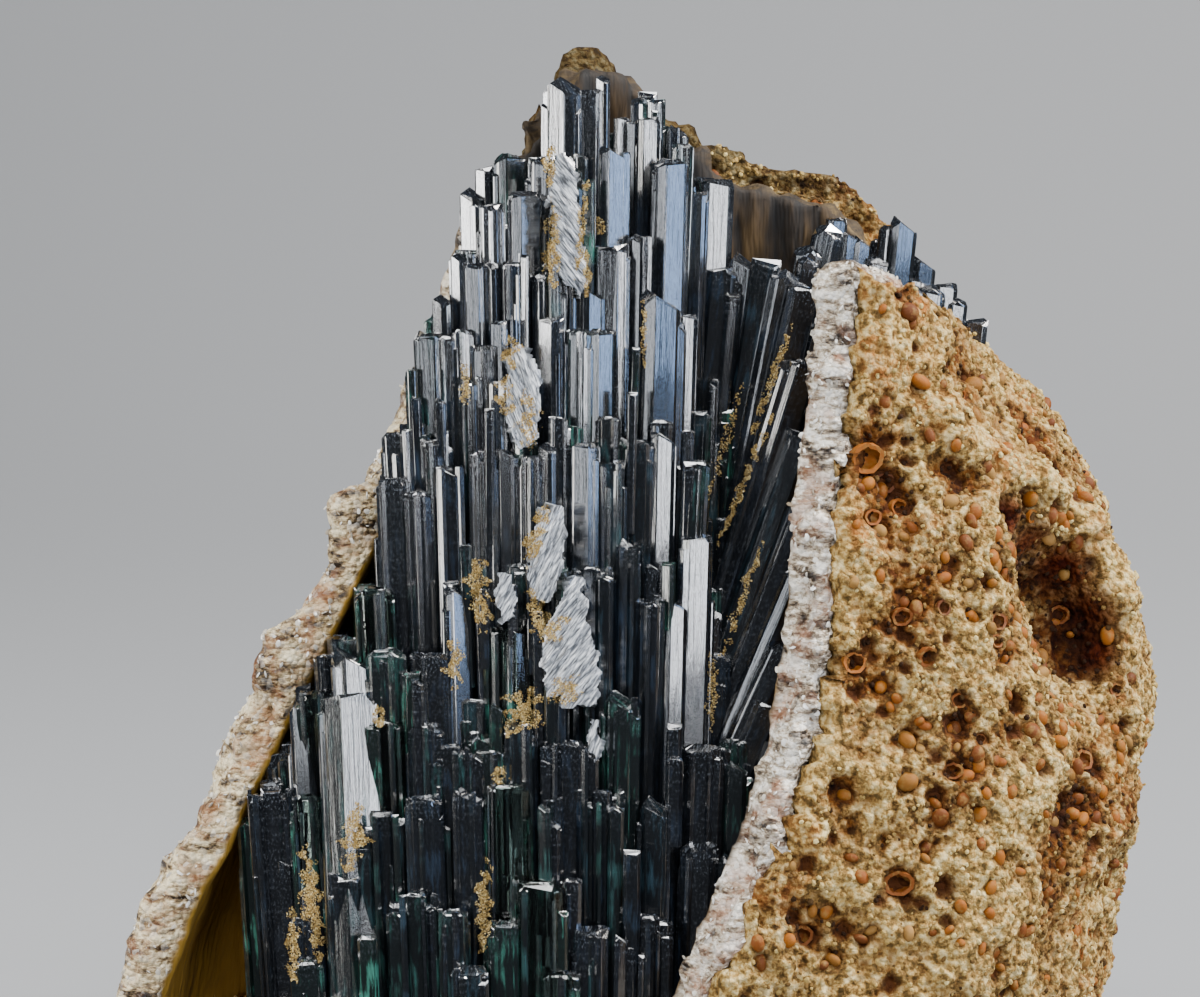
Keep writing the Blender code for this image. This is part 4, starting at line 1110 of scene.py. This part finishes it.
plates = []
bpy.context.tool_settings.mesh_select_mode = (False, False, True)
for name, outline, slant in PLATES:
    middle = np.mean(outline, axis=0)
    near = min((first_hit(*(share * np.array(corner) + (1.0 - share) * middle)) - EYE).length
               for corner in outline for share in (0.1, 0.45, 0.8))
    centre = EYE + sight(*middle) * (near - PLATE_GAP)
    facing = (EYE - centre).normalized()
    across = Vector((0, 0, 1)).cross(facing).normalized()
    upward = facing.cross(across)
    cells_x = round(np.ptp([p[0] for p in outline]) / PX_PER_MM / PLATE_CELL) + 2
    cells_y = round(np.ptp([p[1] for p in outline]) / PX_PER_MM / PLATE_CELL) + 2
    bpy.ops.object.select_all(action="DESELECT")
    bpy.ops.mesh.primitive_grid_add(x_subdivisions=cells_x, y_subdivisions=cells_y, size=1.0)
    plate = bpy.context.object
    plate.name = name
    turn = math.radians(slant)
    flat = []
    for vert in plate.data.vertices:
        flat.append((vert.co.x * cells_x * PLATE_CELL, vert.co.y * cells_y * PLATE_CELL))
    for face in plate.data.polygons:
        u, v = np.mean([flat[i] for i in face.vertices], axis=0)
        wander = 0.3 * noise.noise(Vector((u * 1.8, v * 1.8, slant)))
        spot = (middle[0] + (u + wander) * PX_PER_MM, middle[1] - (v + wander) * PX_PER_MM)
        face.select = not in_outline(*spot, outline)
    for layer in list(plate.data.uv_layers):
        plate.data.uv_layers.remove(layer)
    corners = []
    for loop in plate.data.loops:
        u, v = flat[loop.vertex_index]
        corners += [u * math.cos(turn) - v * math.sin(turn), u * math.sin(turn) + v * math.cos(turn)]
    plate.data.uv_layers.new(name="along_mm").data.foreach_set("uv", corners)
    for vert, (u, v) in zip(plate.data.vertices, flat):
        along = u * math.cos(turn) - v * math.sin(turn)
        ridge = 0.22 * noise.noise(Vector((along * 2.6, (u + v) * 0.5, 7.0))) - 0.16 * u * u - 0.015 * v * v
        vert.co = (centre + across * u + upward * v + facing * ridge) * MM
    bpy.ops.object.mode_set(mode="EDIT")
    bpy.ops.mesh.delete(type="FACE")
    bpy.ops.object.mode_set(mode="OBJECT")
    apply_modifier(plate, "SMOOTH", factor=0.5, iterations=2)
    apply_modifier(plate, "SOLIDIFY", thickness=PLATE_THICK * MM, offset=-1.0)
    plate.data.materials.append(pearl)
    plates.append(plate)
pick(plates[0])
for plate in plates:
    plate.select_set(True)
bpy.ops.object.join()
plates = bpy.context.object
plates.name = "cleavage_plates"
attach(plates, "root")

# Ochre dust
# Fine tan grains that lie in strips on the crystals' sides. Each patch is given in pixels of the photograph:
# middle, half width, half height, lean to the right for each pixel up, and how thick it lies.
DUST = (
    (353, 838, 12, 36, 0.1, 1.0), (312, 905, 11, 62, -0.1, 1.0), (293, 945, 7, 42, 0.0, 0.9),
    (484, 905, 8, 50, 0.05, 0.9), (454, 664, 8, 28, 0.0, 1.0), (524, 712, 19, 26, 0.3, 0.8),
    (500, 775, 8, 10, 0.0, 0.8), (379, 716, 8, 12, 0.0, 0.9), (479, 595, 11, 42, -0.1, 1.0),
    (536, 536, 9, 34, 0.3, 1.0), (537, 612, 10, 24, -0.2, 0.9), (528, 420, 11, 32, 0.0, 0.6),
    (712, 690, 6, 44, 0.0, 0.5), (550, 166, 7, 22, 0.0, 1.0), (587, 272, 4, 27, 0.0, 1.0),
    (553, 245, 7, 50, 0.0, 1.0), (582, 225, 4, 55, 0.1, 1.0), (511, 352, 8, 18, 0.0, 1.0),
    (505, 395, 9, 22, 0.0, 0.8), (465, 385, 5, 24, 0.0, 0.8),
    (548, 250, 4, 26, 0.2, 0.8), (553, 630, 16, 14, 0.4, 0.7), (566, 690, 20, 16, 0.6, 0.5),
    (745, 480, 5, 70, 0.42, 0.8), (742, 600, 5, 60, 0.35, 0.7), (772, 380, 5, 60, 0.36, 0.7),
    (726, 440, 5, 60, 0.3, 0.35), (600, 228, 5, 12, 0.0, 0.5), (644, 330, 3, 40, 0.0, 0.6),
)
DUST_RADIUS = (0.03, 0.065)
DUST_AREA = 0.42  # square pixels of the photograph for each grain
dice = random.Random(41)
surfaces.append(surface_of(plates.data))
bpy.ops.object.select_all(action="DESELECT")
bpy.ops.mesh.primitive_cone_add(vertices=4, radius1=1.0, depth=1.5)
copies = []
for px, py, half_wide, half_high, lean, thick in DUST:
    for _ in range(int(thick * math.pi * half_wide * half_high / DUST_AREA)):
        out, angle = math.sqrt(dice.random()), dice.uniform(0, math.tau)
        up = out * math.sin(angle) * half_high
        ragged = 1.0 + 0.9 * noise.noise(Vector((px, (py - up) / 9.0, 1.0)))
        aside = 0.8 * half_wide * noise.noise(Vector((px, (py - up) / 13.0, 6.0)))
        spot = (px + out * math.cos(angle) * half_wide * ragged + aside + lean * up, py - up)
        thin = noise.noise(Vector((spot[0] / 6.0, spot[1] / 9.0, 2.0)))
        if dice.random() < 0.15 + 0.8 * out ** 2 - 1.3 * thin:
            continue
        place = first_hit(*spot)
        if place is None:
            continue
        radius = dice.uniform(*DUST_RADIUS)
        grain = tumbled(place, (radius, radius * dice.uniform(0.6, 1.0), radius * dice.uniform(0.6, 1.0)))
        copies.append((grain, dice.random()))
dust = joined_copies("ochre_dust", bpy.context.object, copies)

# Ochre dust: pale tan, matt, a few grains darker
tan, tree, shader = new_material("ochre_dust")
tint = add_node(tree, "Attribute", attribute_name="tint").outputs["Fac"]
body = add_node(tree, "ValToRGB", {"Fac": tint}, ((0.0, "#755B30"), (1.0, "#EBDBA8"), (0.4, "#A88A4C"),
                                                  (0.7, "#C6A864")))
set_inputs(tree, shader, {"Base Color": body, "Roughness": 0.85})
dust.data.materials.append(tan)
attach(dust, "root")

# Floor and backdrop
# A plain pale sweep of matt card that curves up behind the specimen. It isn't part of the specimen.
# Its section from front to back: y and z
SWEEP = ((-210.0, 0.0), (150.0, 0.0), (230.0, 12.0), (290.0, 50.0), (325.0, 110.0), (340.0, 200.0),
         (345.0, 420.0))
SWEEP_WIDTH = 900.0
SWEEP_GAP = 0.05  # it lies this far under the flat cut
bpy.ops.object.select_all(action="DESELECT")
bpy.ops.mesh.primitive_grid_add(x_subdivisions=1, y_subdivisions=len(SWEEP) - 1, size=1.0)
sweep = bpy.context.object
sweep.name = "sweep"
for vert in sweep.data.vertices:
    step = round((vert.co.y + 0.5) * (len(SWEEP) - 1))
    y, z = SWEEP[step]
    vert.co = Vector((vert.co.x * SWEEP_WIDTH, y, z - SWEEP_GAP)) * MM
apply_modifier(sweep, "SUBSURF", levels=4, render_levels=4)
bpy.ops.object.shade_smooth()
card, tree, shader = new_material("matt_card")
set_inputs(tree, shader, {"Base Color": "#8E9195", "Roughness": 0.9})
sweep.data.materials.append(card)
sweep.visible_glossy = False  # the crystals mirror the dark of the room, as in the photograph

# Lights
# A hard-edged key from the upper right for the stone, narrow windows that hang high at both sides and that
# the crystal faces mirror, a blue one for the cool faces, and a soft one above for the tips.
ROOM = 420.0  # how far off the lamps are that no face is meant to mirror
LIT_Z = 34.0  # height on the specimen at which the lamps look


def panel(name, azimuth, wide, radiance, colour, elevation=WINDOW_ELEVATION, distance=WINDOW_DISTANCE,
          high=WINDOW_HIGH):
    """A softbox that faces the specimen, and unless told else a window; azimuths are as for WINDOWS."""
    side, up = math.radians(azimuth), math.radians(elevation)
    aim = Vector((0, 0, LIT_Z))
    way = Vector((math.sin(side) * math.cos(up), -math.cos(side) * math.cos(up), math.sin(up)))
    place = aim + distance * way
    lamp = bpy.data.lights.new(name, "AREA")
    lamp.shape = "RECTANGLE"
    lamp.size, lamp.size_y = wide * MM, high * MM
    lamp.energy = radiance * math.pi * wide * high * MM * MM
    lamp.color = linear(colour)[:3]
    made = bpy.data.objects.new(name, lamp)
    made.location = place * MM
    made.rotation_euler = (place - aim).to_track_quat("Z", "Y").to_euler()
    bpy.context.scene.collection.objects.link(made)


panel("key", 92.0, 90.0, 137.0, "#FFF8F0", 44.0, ROOM, 90.0)
panel("fill", 12.0, 120.0, 20.0, "#FFFFFF", 40.0, ROOM, 120.0)
panel("left_window", WINDOWS["left"], 30.0, 24.0, "#FFFFFF")
panel("left_soft", -62.0, 36.0, 14.0, "#F4F2EC", 8.5, high=92.0)
panel("grey_window", WINDOWS["grey"], 26.0, 6.0, "#E6ECF4")
panel("right_window", WINDOWS["right"], 26.0, 16.0, "#F4F8FF")
panel("blue_window", WINDOWS["blue"], 28.0, 10.0, "#A4C3F2")
panel("far_window", WINDOWS["far"], 30.0, 14.0, "#EAF4FF")
panel("rear_window", -114.0, 40.0, 6.0, "#FFFFFF")
panel("above", 0.0, 160.0, 20.0, "#FFFFFF", 80.0, ROOM, 160.0)

world = bpy.data.worlds.new("studio")
world.use_nodes = True
set_inputs(world.node_tree, world.node_tree.nodes["Background"], {"Color": "#B9BEC6", "Strength": 0.09})
bpy.context.scene.world = world

# Camera
lens = bpy.data.cameras.new("camera")
lens.lens = LENS
lens.sensor_width = SENSOR
camera = bpy.data.objects.new("camera", lens)
camera.location = EYE * MM
camera.rotation_euler = EYE_TURN
bpy.context.scene.collection.objects.link(camera)
bpy.context.scene.camera = camera
